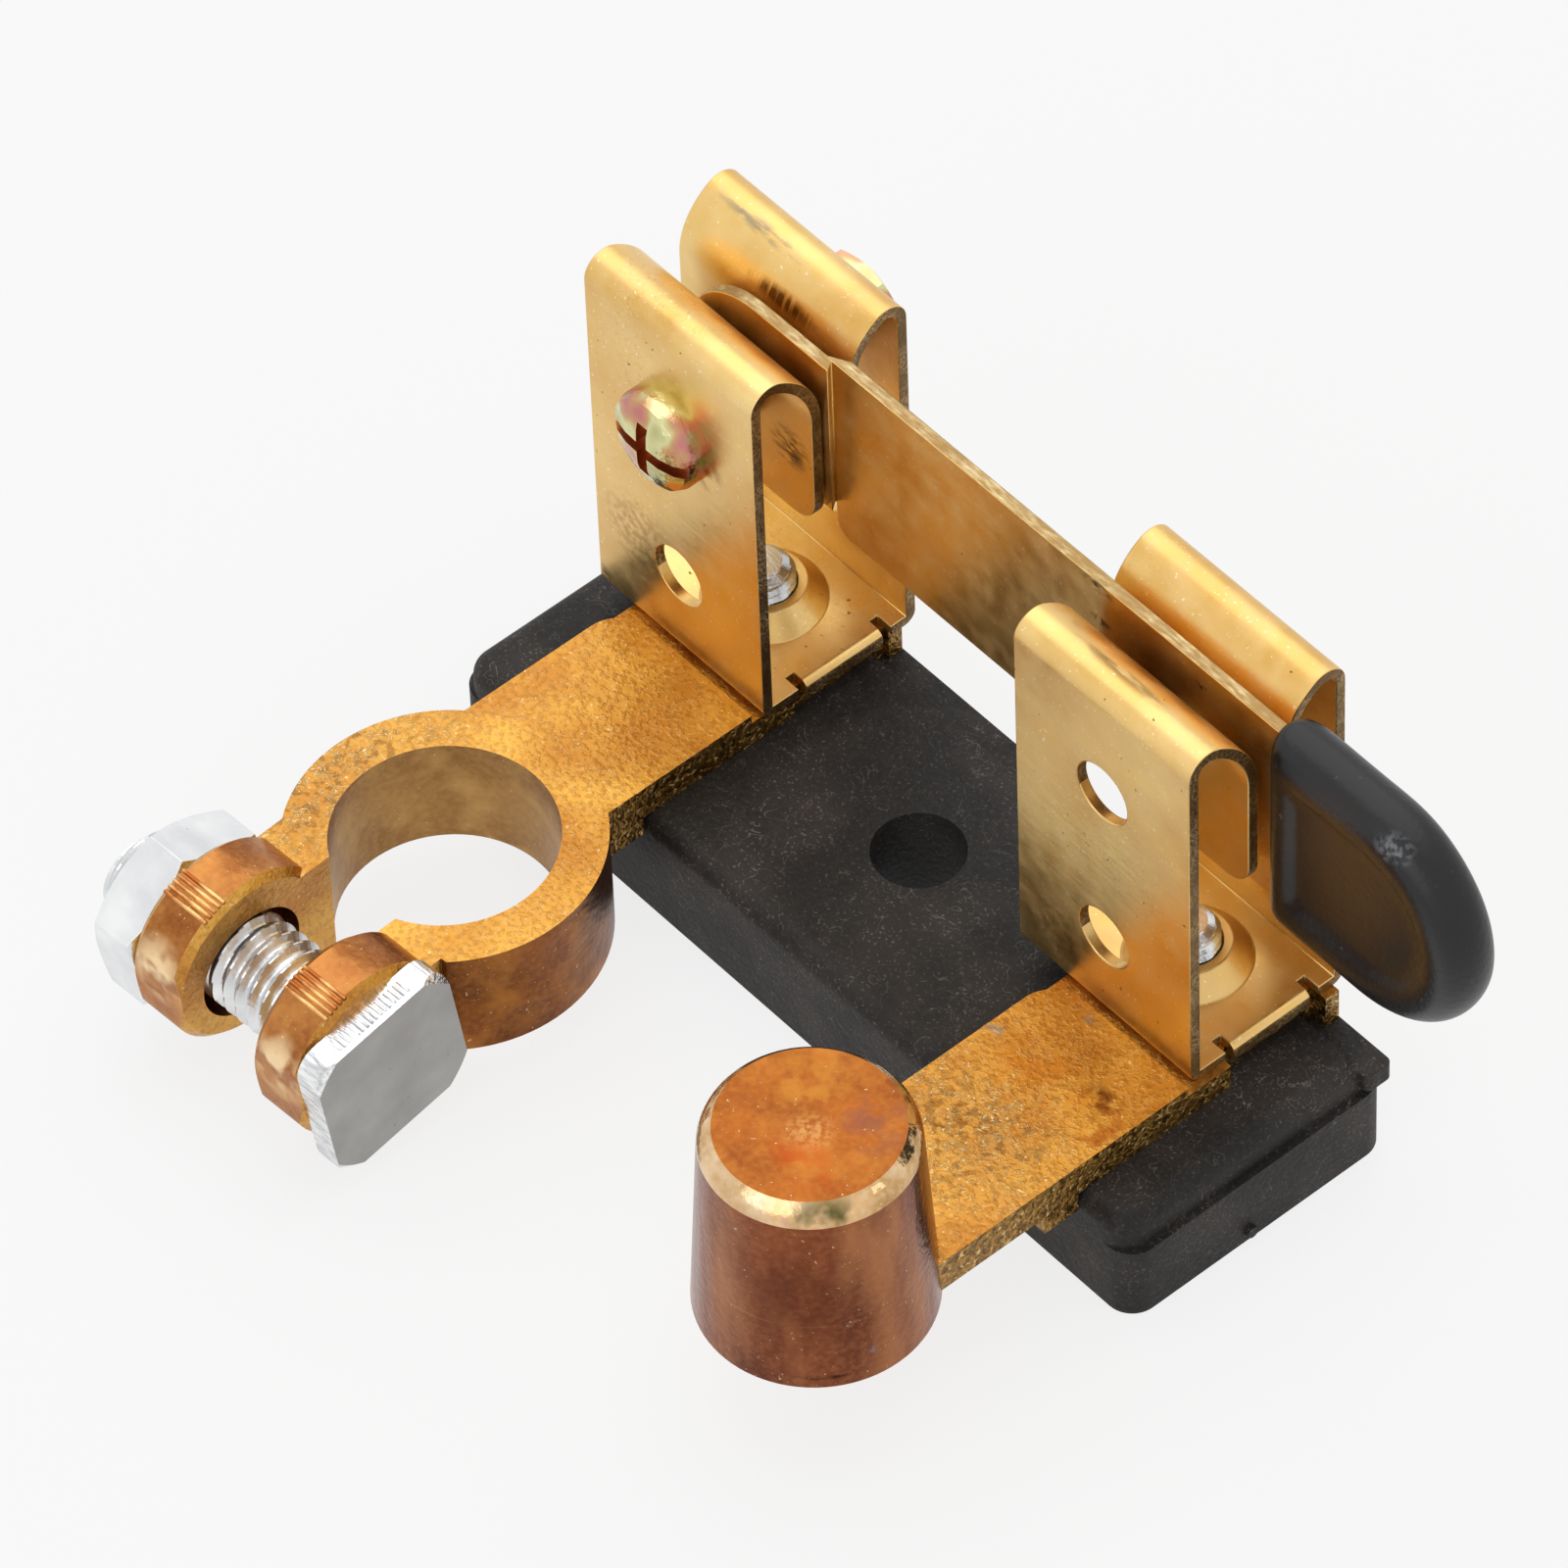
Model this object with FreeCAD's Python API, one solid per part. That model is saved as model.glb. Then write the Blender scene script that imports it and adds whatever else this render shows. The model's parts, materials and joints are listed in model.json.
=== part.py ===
import FreeCAD, Part
import math
import os

from FreeCAD import Placement, Rotation, Vector

# Knife-blade battery disconnect switch, in millimetres.
# The frame: +Z is up, +X runs from the pivot bracket to the handle, and the
# two terminal arms reach out towards -Y.  The origin is on the axis of the
# base's centre hole, in the plane of the base's underside.

# Base: a moulded block with a stepped top
BASE_LENGTH = 74.4
BASE_WIDTH = 25.2
BASE_MID_X = -0.2
BASE_MID_Y = -0.1
BASE_STEP_Z = 6.8
BASE_LEDGE_Z = 9.2
BASE_TOP_Z = 10.0
BASE_STEP_INSET = 0.6
BASE_LEDGE_LIP = 0.35
LEDGE_LIP_RISE = 0.8
LEDGE_LIP_R = 0.6
BASE_CORNER_R = 2.2
BASE_TOP_FILLET = 1.6
LEDGE_WIDTH = 2.5
PLATEAU_CORNER_R = 3.0
CENTRE_HOLE_R = 3.6
SCREW_HOLE_R = 2.7
SCREW_POCKET_R = 5.6
SCREW_POCKET_DEPTH = 5.0
GATE_STUB_R = 0.5
GATE_STUB_LENGTH = 0.5
GATE_STUB_Y = -1.2
GATE_STUB_Z = 1.2

# Where the two screws stand that hold arms and brackets on the base
CLAMP_SIDE_X = -24.05
POST_SIDE_X = 22.5
SCREW_LINE_Y = 6.07

# Arms: two castings with one section
ARM_THICKNESS = 3.1
SEAT_THICKNESS = 2.3
SEAT_END_Y = -2.2
ARM_REAR_GAP = 0.1
REAR_LIP_GAP = 0.15
LUG_LENGTH = 3.2
LUG_DROP = 1.8
LUG_GAP = 0.1
ARM_CORNER_R = 3.0
ARM_HOLE_R = 3.1
CLAMP_ARM_LEFT = 6.45
CLAMP_ARM_RIGHT = 8.15
POST_ARM_LEFT = 5.0
POST_ARM_RIGHT = 9.2

# Clamp ring of the clamp arm, with two ears for its bolt
RING_X = -21.5
RING_Y = -26.8
RING_BORE_R = 8.54
RING_WALL = 3.46
RING_HEIGHT = 10.0
RING_RISE = 1.2
CLAMP_GAP = 7.7
CLAMP_GAP_SHIFT = -0.65
CLAMP_TURN = 3.2
BOLT_REACH = 15.3
EAR_THICKNESS = 5.1
EAR_R = 7.35
EAR_RISE = 0.65
EAR_FRONT = 6.8
EAR_BEVEL = 0.6
EAR_HOLE_R = 4.7
HEAD_RELIEF = 0.65

# Tapered terminal stud of the post arm
STUD_X = 25.3
STUD_Y = -32.0
STUD_BASE_R = 8.95
STUD_HEIGHT = 18.4
STUD_TAPER = 9.0
STUD_CHAMFER = 1.0
STUD_DROP = 0.4

# Brackets: folded strip with a hook-shaped spring jaw on each side
SHEET = 0.9
BRACKET_WIDTH = 18.4
BRACKET_SHIFT_X = -0.6
WALL_FRONT_Y = -1.4
WALL_REAR_Y = 13.4
BRACKET_TOP_Z = 47.2
HOOK_R = 1.9
HOOK_TURN = 60.0
BRACKET_BEND_R = 1.1
JAW_FRONT_Y = 5.1
JAW_REAR_Y = 7.5
JAW_LEG_Z = 29.3
JAW_LEG_CORNER_R = 2.5
WALL_HOLE_R = 2.6
LOWER_HOLE_Z = 20.7
COLLAR_BASE_R = 4.8
COLLAR_TOP_R = 3.3
COLLAR_HEIGHT = 1.8
TAB_START_Y = 2.8
TAB_LENGTH = 7.4
TAB_DROP = 1.5
TAB_RELIEF = 0.8
TAB_RELIEF_DEPTH = 1.5
TAB_BEND_R = 0.72
TAB_CLEARANCE = 0.1

# Blade with a semi-sheared step beside the pivot jaw
BLADE_T = 1.0
BLADE_TOP_RISE = 9.5
BLADE_HEIGHT = 18.4
BLADE_PIVOT_FACE_Y = 5.3
BLADE_STEP = 0.85
BLADE_TAIL_HEIGHT = 15.2
BLADE_TAIL_END_X = -30.2
BLADE_STEP_X = -14.8
BLADE_STEP_UNDERCUT = 0.6
BLADE_BACK_BEVEL = 1.6
BLADE_NECK = 0.5
BLADE_HEEL_R = 1.5
PIVOT_Z = 36.5

# Dipped handle sleeve over the blade's free end, clear of the jaw bracket
GRIP_CLEARANCE = 2.2
GRIP_TIP_WALL = 4.6
GRIP_LENGTH = 19.3
GRIP_HEIGHT = 20.4
GRIP_RISE = 0.4
GRIP_THICKNESS = 5.0
GRIP_EDGE_BEVEL = 1.5
GRIP_DISH_DEPTH = 0.5
GRIP_DISH_INSET = 3.4
GRIP_FIT = 0.05

# Fasteners
M5_R = 2.5
M5_HEAD_R = 4.15
M5_HEAD_H = 2.9
M5_HEAD_BEVEL = 0.9
# Points of the dome, as shares of the head's radius and height
PAN_HEAD_DOME = ((1, 0.45), (0.93, 0.7), (0.76, 0.86), (0.45, 0.97), (0, 1))
M5_NUT_AF = 8.0
M5_NUT_H = 4.0
M5_SLOT_WIDTH = 1.1
M5_SLOT_DEPTH = 1.2
M5_CROSS_R = 2.5
M5_TIP_BEVEL = 0.5
PIVOT_SCREW_LENGTH = 20.0
BASE_SCREW_LENGTH = 12.0
M8_R = 3.95
M8_HEAD_AF = 13.0
M8_HEAD_H = 2.3
M8_HEAD_CORNER_R = 2.0
M8_HEAD_TURN = 8.0
M8_HEAD_RISE = 1.3
M8_TIP_BEVEL = 0.7
M8_NUT_AF = 13.0
M8_NUT_TURN = 52.0
M8_NUT_H = 4.5
M8_LENGTH = 25.3
RUNNING_FIT = 0.05
THREAD_FIT = 0.05

# How far two blocks of one piece run into each other
WELD = 0.01

# Worked out from the values above
BASE_X0 = BASE_MID_X - BASE_LENGTH / 2
BASE_X1 = BASE_MID_X + BASE_LENGTH / 2
BASE_Y0 = BASE_MID_Y - BASE_WIDTH / 2
BASE_Y1 = BASE_MID_Y + BASE_WIDTH / 2
PLATEAU_Y1 = BASE_Y1 - LEDGE_WIDTH
ARM_TOP_Z = BASE_TOP_Z + ARM_THICKNESS
PLATE_Z = BASE_TOP_Z + SEAT_THICKNESS
RING_R = RING_BORE_R + RING_WALL
RING_TOP_Z = ARM_TOP_Z + RING_RISE
RING_Z = RING_TOP_Z - RING_HEIGHT
BOLT_Z = (RING_TOP_Z + RING_Z) / 2
EAR_NEAR_X = CLAMP_GAP_SHIFT + CLAMP_GAP / 2
EAR_FAR_X = CLAMP_GAP_SHIFT - CLAMP_GAP / 2
HEAD_SEAT_X = EAR_NEAR_X + EAR_THICKNESS
NUT_SEAT_X = EAR_FAR_X - EAR_THICKNESS
STUD_Z = BASE_TOP_Z - STUD_DROP
STUD_TOP_R = STUD_BASE_R - STUD_HEIGHT / STUD_TAPER / 2
PIVOT_X = CLAMP_SIDE_X + BRACKET_SHIFT_X
BLADE_TOP_Z = PIVOT_Z + BLADE_TOP_RISE
BLADE_LOW_Z = BLADE_TOP_Z - BLADE_HEIGHT
BLADE_MID_Z = BLADE_TOP_Z - BLADE_HEIGHT / 2
BLADE_FACE_Y = BLADE_PIVOT_FACE_Y + BLADE_STEP
GRIP_MOUTH_X = POST_SIDE_X + BRACKET_SHIFT_X + BRACKET_WIDTH / 2 + GRIP_CLEARANCE
GRIP_TIP_X = GRIP_MOUTH_X + GRIP_LENGTH
BLADE_TIP_X = GRIP_TIP_X - GRIP_TIP_WALL
GRIP_MID_Y = BLADE_FACE_Y + BLADE_T / 2
GRIP_MID_Z = BLADE_MID_Z + GRIP_RISE


def box(x0, x1, y0, y1, z0, z1):
    """A block between two corners."""
    return Part.makeBox(x1 - x0, y1 - y0, z1 - z0, Vector(x0, y0, z0))


def rod(radius, start, axis, length):
    """A round bar from a start point along an axis."""
    return Part.makeCylinder(radius, length, Vector(*start), Vector(*axis))


def face_of(points):
    """A flat face inside a closed outline of straight edges."""
    corners = [Vector(*p) for p in points]
    return Part.Face(Part.makePolygon(corners + corners[:1]))


def edges_where(shape, test):
    """The straight or curved edges whose middle passes a test."""
    found = []
    for edge in shape.Edges:
        middle = edge.valueAt((edge.FirstParameter + edge.LastParameter) / 2)
        if test(middle, edge):
            found.append(edge)
    return found


def is_upright(edge):
    """Whether an edge is straight and runs along Z."""
    box_of = edge.BoundBox
    return box_of.XLength < 1e-6 and box_of.YLength < 1e-6


def hexagon(across_flats, height, start, axis, turn=0.0):
    """A hexagonal nut blank with its corners turned off on both faces."""
    radius = across_flats / math.sqrt(3)
    ring = [(radius * math.cos(math.radians(60 * i + turn)),
             radius * math.sin(math.radians(60 * i + turn)), 0) for i in range(6)]
    blank = face_of(ring).extrude(Vector(0, 0, height))
    slope = math.tan(math.radians(30))
    rise = (radius - across_flats / 2) * slope
    low = Part.makeCone(across_flats / 2, across_flats / 2 + (height + rise) / slope,
                        height + rise)
    high = low.copy()
    high.Placement = Placement(Vector(0, 0, height), Rotation(Vector(1, 0, 0), 180))
    blank = blank.common(low).common(high)
    blank.Placement = Placement(Vector(*start), Rotation(Vector(0, 0, 1), Vector(*axis)))
    return blank


def pan_head(radius, height, start, axis):
    """A domed screw head that stands on its flat face."""
    outline = [(0, 0, 0), (radius, 0, 0)]
    outline += [(radius * share, 0, height * rise) for share, rise in PAN_HEAD_DOME]
    head = face_of(outline).revolve(Vector(0, 0, 0), Vector(0, 0, 1), 360)
    head.Placement = Placement(Vector(*start), Rotation(Vector(0, 0, 1), Vector(*axis)))
    return head


def make_base():
    """Moulded base: a lower block, an inset upper block and a rear ledge."""
    lower = box(BASE_X0, BASE_X1, BASE_Y0, BASE_Y1, 0, BASE_STEP_Z)
    lower = lower.makeFillet(BASE_CORNER_R, edges_where(lower, lambda m, e: is_upright(e)))
    upper = box(BASE_X0 + BASE_STEP_INSET, BASE_X1 - BASE_STEP_INSET,
                BASE_Y0, BASE_Y1, BASE_STEP_Z, BASE_TOP_Z)
    upper = upper.makeFillet(BASE_CORNER_R, edges_where(upper, lambda m, e: is_upright(e)))
    top = edges_where(upper, lambda m, e: abs(m.z - BASE_TOP_Z) < 1e-6 and m.y < BASE_Y1 - 1e-3)
    upper = upper.makeFillet(BASE_TOP_FILLET, top)
    plateau = box(BASE_X0, BASE_X1, BASE_Y0 - 1, PLATEAU_Y1, BASE_LEDGE_Z, BASE_TOP_Z)
    rear = edges_where(plateau, lambda m, e: is_upright(e) and m.y > 0)
    plateau = plateau.makeFillet(PLATEAU_CORNER_R, rear)
    slab = box(BASE_X0, BASE_X1, BASE_Y0 - 1, BASE_Y1 + 1, BASE_LEDGE_Z, BASE_TOP_Z)
    upper = upper.cut(slab.cut(plateau))
    lip = box(BASE_X0 - BASE_LEDGE_LIP, BASE_X1 + BASE_LEDGE_LIP, PLATEAU_Y1, BASE_Y1,
              BASE_STEP_Z + LEDGE_LIP_RISE, BASE_LEDGE_Z)
    lip = lip.makeFillet(LEDGE_LIP_R, edges_where(lip, lambda m, e: is_upright(e)))
    base = lower.fuse([upper, lip]).removeSplitter()
    base = base.fuse(rod(GATE_STUB_R, (BASE_X1 - 1, GATE_STUB_Y, GATE_STUB_Z), (1, 0, 0),
                         1 + GATE_STUB_LENGTH))
    base = base.cut(rod(CENTRE_HOLE_R, (0, 0, -1), (0, 0, 1), BASE_TOP_Z + 2))
    for screw_x in (CLAMP_SIDE_X, POST_SIDE_X):
        base = base.cut(rod(SCREW_HOLE_R, (screw_x, SCREW_LINE_Y, -1), (0, 0, 1), BASE_TOP_Z + 2))
        base = base.cut(rod(SCREW_POCKET_R, (screw_x, SCREW_LINE_Y, -1), (0, 0, 1),
                            SCREW_POCKET_DEPTH + 1))
    return base


def arm_body(screw_x, left, right, front_y):
    """The shared section of both arms, from the rear lip to the front."""
    x0 = screw_x - left
    x1 = screw_x + right
    rear_y = BASE_Y1 - ARM_REAR_GAP
    seat = box(x0, x1, SEAT_END_Y, rear_y, BASE_TOP_Z, PLATE_Z)
    raised = box(x0, x1, front_y, SEAT_END_Y, BASE_TOP_Z, ARM_TOP_Z)
    corner = edges_where(raised, lambda m, e: is_upright(e) and m.y > SEAT_END_Y - 1e-3
                         and m.x < x0 + 1e-3)
    rounded = raised.makeFillet(ARM_CORNER_R, corner)
    raised = rounded.fuse(box(x0, x1, front_y, SEAT_END_Y, BASE_TOP_Z, PLATE_Z))
    lip = box(x0, x1, PLATEAU_Y1 + REAR_LIP_GAP, rear_y, BASE_LEDGE_Z, PLATE_Z)
    lug_y = BASE_Y0 - LUG_GAP
    lug = box(x0, x1, lug_y - LUG_LENGTH, lug_y, BASE_TOP_Z - LUG_DROP, PLATE_Z)
    arm = seat.fuse([raised, lip, lug])
    tab_x = screw_x + BRACKET_SHIFT_X + BRACKET_WIDTH / 2
    pocket = box(tab_x - SHEET - TAB_CLEARANCE, x1 + 1,
                 TAB_START_Y - TAB_CLEARANCE - TAB_RELIEF,
                 TAB_START_Y + TAB_LENGTH + TAB_CLEARANCE + TAB_RELIEF,
                 BASE_TOP_Z - 1, PLATE_Z + 1)
    arm = arm.cut(pocket)
    return arm.cut(rod(ARM_HOLE_R, (screw_x, SCREW_LINE_Y, 0), (0, 0, 1), BRACKET_TOP_Z))


def on_clamp(shape):
    """Moves a shape drawn about the ring's axis to its place, turned with the clamp."""
    shape.Placement = Placement(Vector(RING_X, RING_Y, 0),
                                Rotation(Vector(0, 0, 1), CLAMP_TURN)) * shape.Placement
    return shape


def make_ear(inner_x, outer_x):
    """One ear of the clamp: a round boss with a flat front, and its neck to the ring."""
    start = min(inner_x, outer_x)
    boss = rod(EAR_R, (start, -BOLT_REACH, BOLT_Z + EAR_RISE), (1, 0, 0), EAR_THICKNESS)
    boss = boss.makeChamfer(EAR_BEVEL, [e for e in boss.Edges if e.Closed])
    boss = boss.cut(box(start - 1, start + EAR_THICKNESS + 1,
                        -BOLT_REACH - 2 * EAR_R, -BOLT_REACH - EAR_FRONT, RING_Z - EAR_R,
                        RING_TOP_Z + EAR_R))
    neck = box(start, start + EAR_THICKNESS, -BOLT_REACH, 0, RING_Z, RING_TOP_Z)
    return boss.fuse(neck)


def make_clamp_arm():
    """Arm that ends in a split ring for a battery post."""
    arm = arm_body(CLAMP_SIDE_X, CLAMP_ARM_LEFT, CLAMP_ARM_RIGHT, RING_Y + RING_BORE_R)
    ring = rod(RING_R, (0, 0, RING_Z), (0, 0, 1), RING_HEIGHT)
    ears = [make_ear(EAR_NEAR_X, HEAD_SEAT_X), make_ear(EAR_FAR_X, NUT_SEAT_X)]
    arm = arm.fuse([on_clamp(shape) for shape in [ring] + ears])
    bore = rod(RING_BORE_R, (0, 0, RING_Z - 1), (0, 0, 1), RING_HEIGHT + 2)
    slot = box(EAR_FAR_X, EAR_NEAR_X, -BOLT_REACH - EAR_R - 1, 0, RING_Z - EAR_R,
               RING_TOP_Z + EAR_R)
    hole = rod(EAR_HOLE_R, (NUT_SEAT_X - 1, -BOLT_REACH, BOLT_Z), (1, 0, 0),
               HEAD_SEAT_X - NUT_SEAT_X + 2)
    relief = box(HEAD_SEAT_X, RING_R, -RING_R, -BOLT_REACH + M8_HEAD_AF / 2 + HEAD_RELIEF,
                 RING_Z - 1, RING_TOP_Z + 1)
    return arm.cut([on_clamp(shape) for shape in (bore, slot, hole, relief)])


def make_post_arm():
    """Arm that carries the tapered terminal stud."""
    arm = arm_body(POST_SIDE_X, POST_ARM_LEFT, POST_ARM_RIGHT, STUD_Y)
    stud = Part.makeCone(STUD_BASE_R, STUD_TOP_R, STUD_HEIGHT, Vector(STUD_X, STUD_Y, STUD_Z))
    top = edges_where(stud, lambda m, e: abs(m.z - STUD_Z - STUD_HEIGHT) < 1e-6)
    stud = stud.makeChamfer(STUD_CHAMFER, top)
    return arm.fuse(stud)


def arch(wall_y, jaw_y, inset):
    """Edges of a hook's arch: a tight arc off the wall, then a wide one to the leg.

    inset moves the arch inwards, for the sheet's inner face.
    """
    side = 1 if jaw_y > wall_y else -1
    turn = math.radians(HOOK_TURN)
    width = abs(jaw_y - wall_y)
    wide_r = (width - HOOK_R * (1 + math.cos(turn))) / (1 - math.cos(turn))
    tight_y = wall_y + side * HOOK_R
    tight_z = BRACKET_TOP_Z - HOOK_R
    wide_y = tight_y - side * (wide_r - HOOK_R) * math.cos(turn)
    wide_z = tight_z - (wide_r - HOOK_R) * math.sin(turn)

    def on_arc(centre_y, centre_z, radius, angle):
        return Vector(0, centre_y + side * (radius - inset) * math.cos(angle),
                      centre_z + (radius - inset) * math.sin(angle))

    start = on_arc(tight_y, tight_z, HOOK_R, math.pi)
    top = on_arc(tight_y, tight_z, HOOK_R, (math.pi + turn) / 2)
    join = on_arc(tight_y, tight_z, HOOK_R, turn)
    shoulder = on_arc(wide_y, wide_z, wide_r, turn / 2)
    end = on_arc(wide_y, wide_z, wide_r, 0)
    return start, end, [Part.Arc(start, top, join).toShape(),
                        Part.Arc(join, shoulder, end).toShape()]


def hook(wall_y, jaw_y):
    """One wall with its spring hook: an arch on top and a leg that comes down inside."""
    side = 1 if jaw_y > wall_y else -1
    outer_start, outer_end, outer = arch(wall_y, jaw_y, 0)
    inner_start, inner_end, inner = arch(wall_y, jaw_y, SHEET)
    wall_low = PLATE_Z + BRACKET_BEND_R
    outline = [
        Vector(0, wall_y + side * SHEET, wall_low),
        Vector(0, wall_y, wall_low),
        outer_start,
    ]
    edges = [Part.LineSegment(p, q).toShape() for p, q in zip(outline, outline[1:])]
    edges += outer
    tail = [outer_end, Vector(0, jaw_y, JAW_LEG_Z), Vector(0, jaw_y - side * SHEET, JAW_LEG_Z),
            inner_end]
    edges += [Part.LineSegment(p, q).toShape() for p, q in zip(tail, tail[1:])]
    edges += inner
    edges.append(Part.LineSegment(inner_start, outline[0]).toShape())
    profile = Part.Face(Part.Wire(Part.__sortEdges__(edges)))
    strip = profile.extrude(Vector(BRACKET_WIDTH, 0, 0))
    low = edges_where(strip, lambda m, e: e.BoundBox.XLength < 1e-6 and e.BoundBox.ZLength < 1e-6
                      and abs(m.z - JAW_LEG_Z) < 1e-3)
    return strip.makeFillet(JAW_LEG_CORNER_R, low)


def make_bracket(screw_x):
    """Folded bracket: plate, two walls, two hooks, a collar and a side tab."""
    mid_x = screw_x + BRACKET_SHIFT_X
    x0 = mid_x - BRACKET_WIDTH / 2
    x1 = mid_x + BRACKET_WIDTH / 2
    plate = box(0, BRACKET_WIDTH, WALL_FRONT_Y, WALL_REAR_Y, PLATE_Z,
                PLATE_Z + BRACKET_BEND_R + WELD)
    corners = [e for e in plate.Edges if e.BoundBox.YLength < 1e-6
               and e.BoundBox.ZLength < 1e-6 and e.BoundBox.ZMax < PLATE_Z + 1e-3]
    plate = plate.makeFillet(BRACKET_BEND_R, corners)
    room = box(-1, BRACKET_WIDTH + 1, WALL_FRONT_Y + SHEET, WALL_REAR_Y - SHEET,
               PLATE_Z + SHEET, PLATE_Z + BRACKET_BEND_R + 1)
    plate = plate.cut(room)
    body = plate.fuse([hook(WALL_FRONT_Y, JAW_FRONT_Y), hook(WALL_REAR_Y, JAW_REAR_Y)])
    body = body.removeSplitter()
    body.translate(Vector(x0, 0, 0))
    for hole_z in (PIVOT_Z, LOWER_HOLE_Z):
        body = body.cut(rod(WALL_HOLE_R, (mid_x, WALL_FRONT_Y - 1, hole_z), (0, 1, 0),
                            WALL_REAR_Y - WALL_FRONT_Y + 2))
    for notch_y in (TAB_START_Y - TAB_RELIEF, TAB_START_Y + TAB_LENGTH):
        body = body.cut(box(x1 - TAB_RELIEF_DEPTH, x1 + 1, notch_y, notch_y + TAB_RELIEF,
                            PLATE_Z - 1, PLATE_Z + SHEET + WELD))
    tab_y1 = TAB_START_Y + TAB_LENGTH
    tab = box(x1 - SHEET, x1, TAB_START_Y, tab_y1, PLATE_Z + SHEET - TAB_DROP, PLATE_Z + SHEET)
    body = body.fuse(tab).removeSplitter()
    ridge = edges_where(body, lambda m, e: abs(m.x - x1) < 1e-3
                        and abs(m.z - PLATE_Z - SHEET) < 1e-3
                        and TAB_START_Y < m.y < tab_y1 and e.BoundBox.YLength > TAB_LENGTH - 0.1)
    body = body.makeFillet(TAB_BEND_R, ridge)
    plate_top = PLATE_Z + SHEET
    cone = Part.makeCone(COLLAR_BASE_R, COLLAR_TOP_R, COLLAR_HEIGHT,
                         Vector(screw_x, SCREW_LINE_Y, plate_top))
    body = body.fuse(cone)
    dimple = Part.makeCone(COLLAR_BASE_R - SHEET, M5_R + THREAD_FIT, COLLAR_HEIGHT,
                           Vector(screw_x, SCREW_LINE_Y, PLATE_Z))
    tapped = rod(M5_R + THREAD_FIT, (screw_x, SCREW_LINE_Y, PLATE_Z - 1), (0, 0, 1),
                 COLLAR_HEIGHT + SHEET + 2)
    return body.cut([dimple, tapped])


def make_blade():
    """Strip with a narrower, round-ended tail that steps forward beside the jaw."""
    step_back_x = BLADE_STEP_X - BLADE_STEP_UNDERCUT
    bevel_x = step_back_x - BLADE_NECK
    tail_r = BLADE_TAIL_HEIGHT / 2
    tail_z = BLADE_TOP_Z - tail_r
    half = BLADE_HEIGHT / 2
    plan = face_of([
        (BLADE_TAIL_END_X, BLADE_PIVOT_FACE_Y, BLADE_LOW_Z),
        (BLADE_STEP_X, BLADE_PIVOT_FACE_Y, BLADE_LOW_Z),
        (step_back_x, BLADE_FACE_Y, BLADE_LOW_Z),
        (BLADE_TIP_X, BLADE_FACE_Y, BLADE_LOW_Z),
        (BLADE_TIP_X, BLADE_FACE_Y + BLADE_T, BLADE_LOW_Z),
        (bevel_x + BLADE_BACK_BEVEL, BLADE_FACE_Y + BLADE_T, BLADE_LOW_Z),
        (bevel_x, BLADE_PIVOT_FACE_Y + BLADE_T, BLADE_LOW_Z),
        (BLADE_TAIL_END_X, BLADE_PIVOT_FACE_Y + BLADE_T, BLADE_LOW_Z),
    ]).extrude(Vector(0, 0, BLADE_HEIGHT))
    depth = BLADE_T + BLADE_STEP + 2
    start_y = BLADE_PIVOT_FACE_Y - 1
    main_strip = box(step_back_x, BLADE_TIP_X - half, BLADE_FACE_Y, BLADE_FACE_Y + depth,
                     BLADE_LOW_Z, BLADE_TOP_Z)
    heel = edges_where(main_strip, lambda m, e: e.BoundBox.YLength > depth - 0.1
                       and m.x < step_back_x + 1e-3 and m.z < BLADE_LOW_Z + 1e-3)
    main_strip = main_strip.makeFillet(BLADE_HEEL_R, heel)
    tail = box(BLADE_TAIL_END_X + tail_r, BLADE_STEP_X, start_y, start_y + depth,
               BLADE_TOP_Z - BLADE_TAIL_HEIGHT, BLADE_TOP_Z)
    round_end = rod(tail_r, (BLADE_TAIL_END_X + tail_r, start_y, tail_z), (0, 1, 0), depth)
    round_tip = rod(half, (BLADE_TIP_X - half, start_y, BLADE_MID_Z), (0, 1, 0), depth)
    outline = main_strip.fuse([tail, round_end, round_tip])
    blade = plan.common(outline)
    return blade.cut(rod(M5_R + RUNNING_FIT, (PIVOT_X, start_y, PIVOT_Z), (0, 1, 0), depth))


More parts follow.
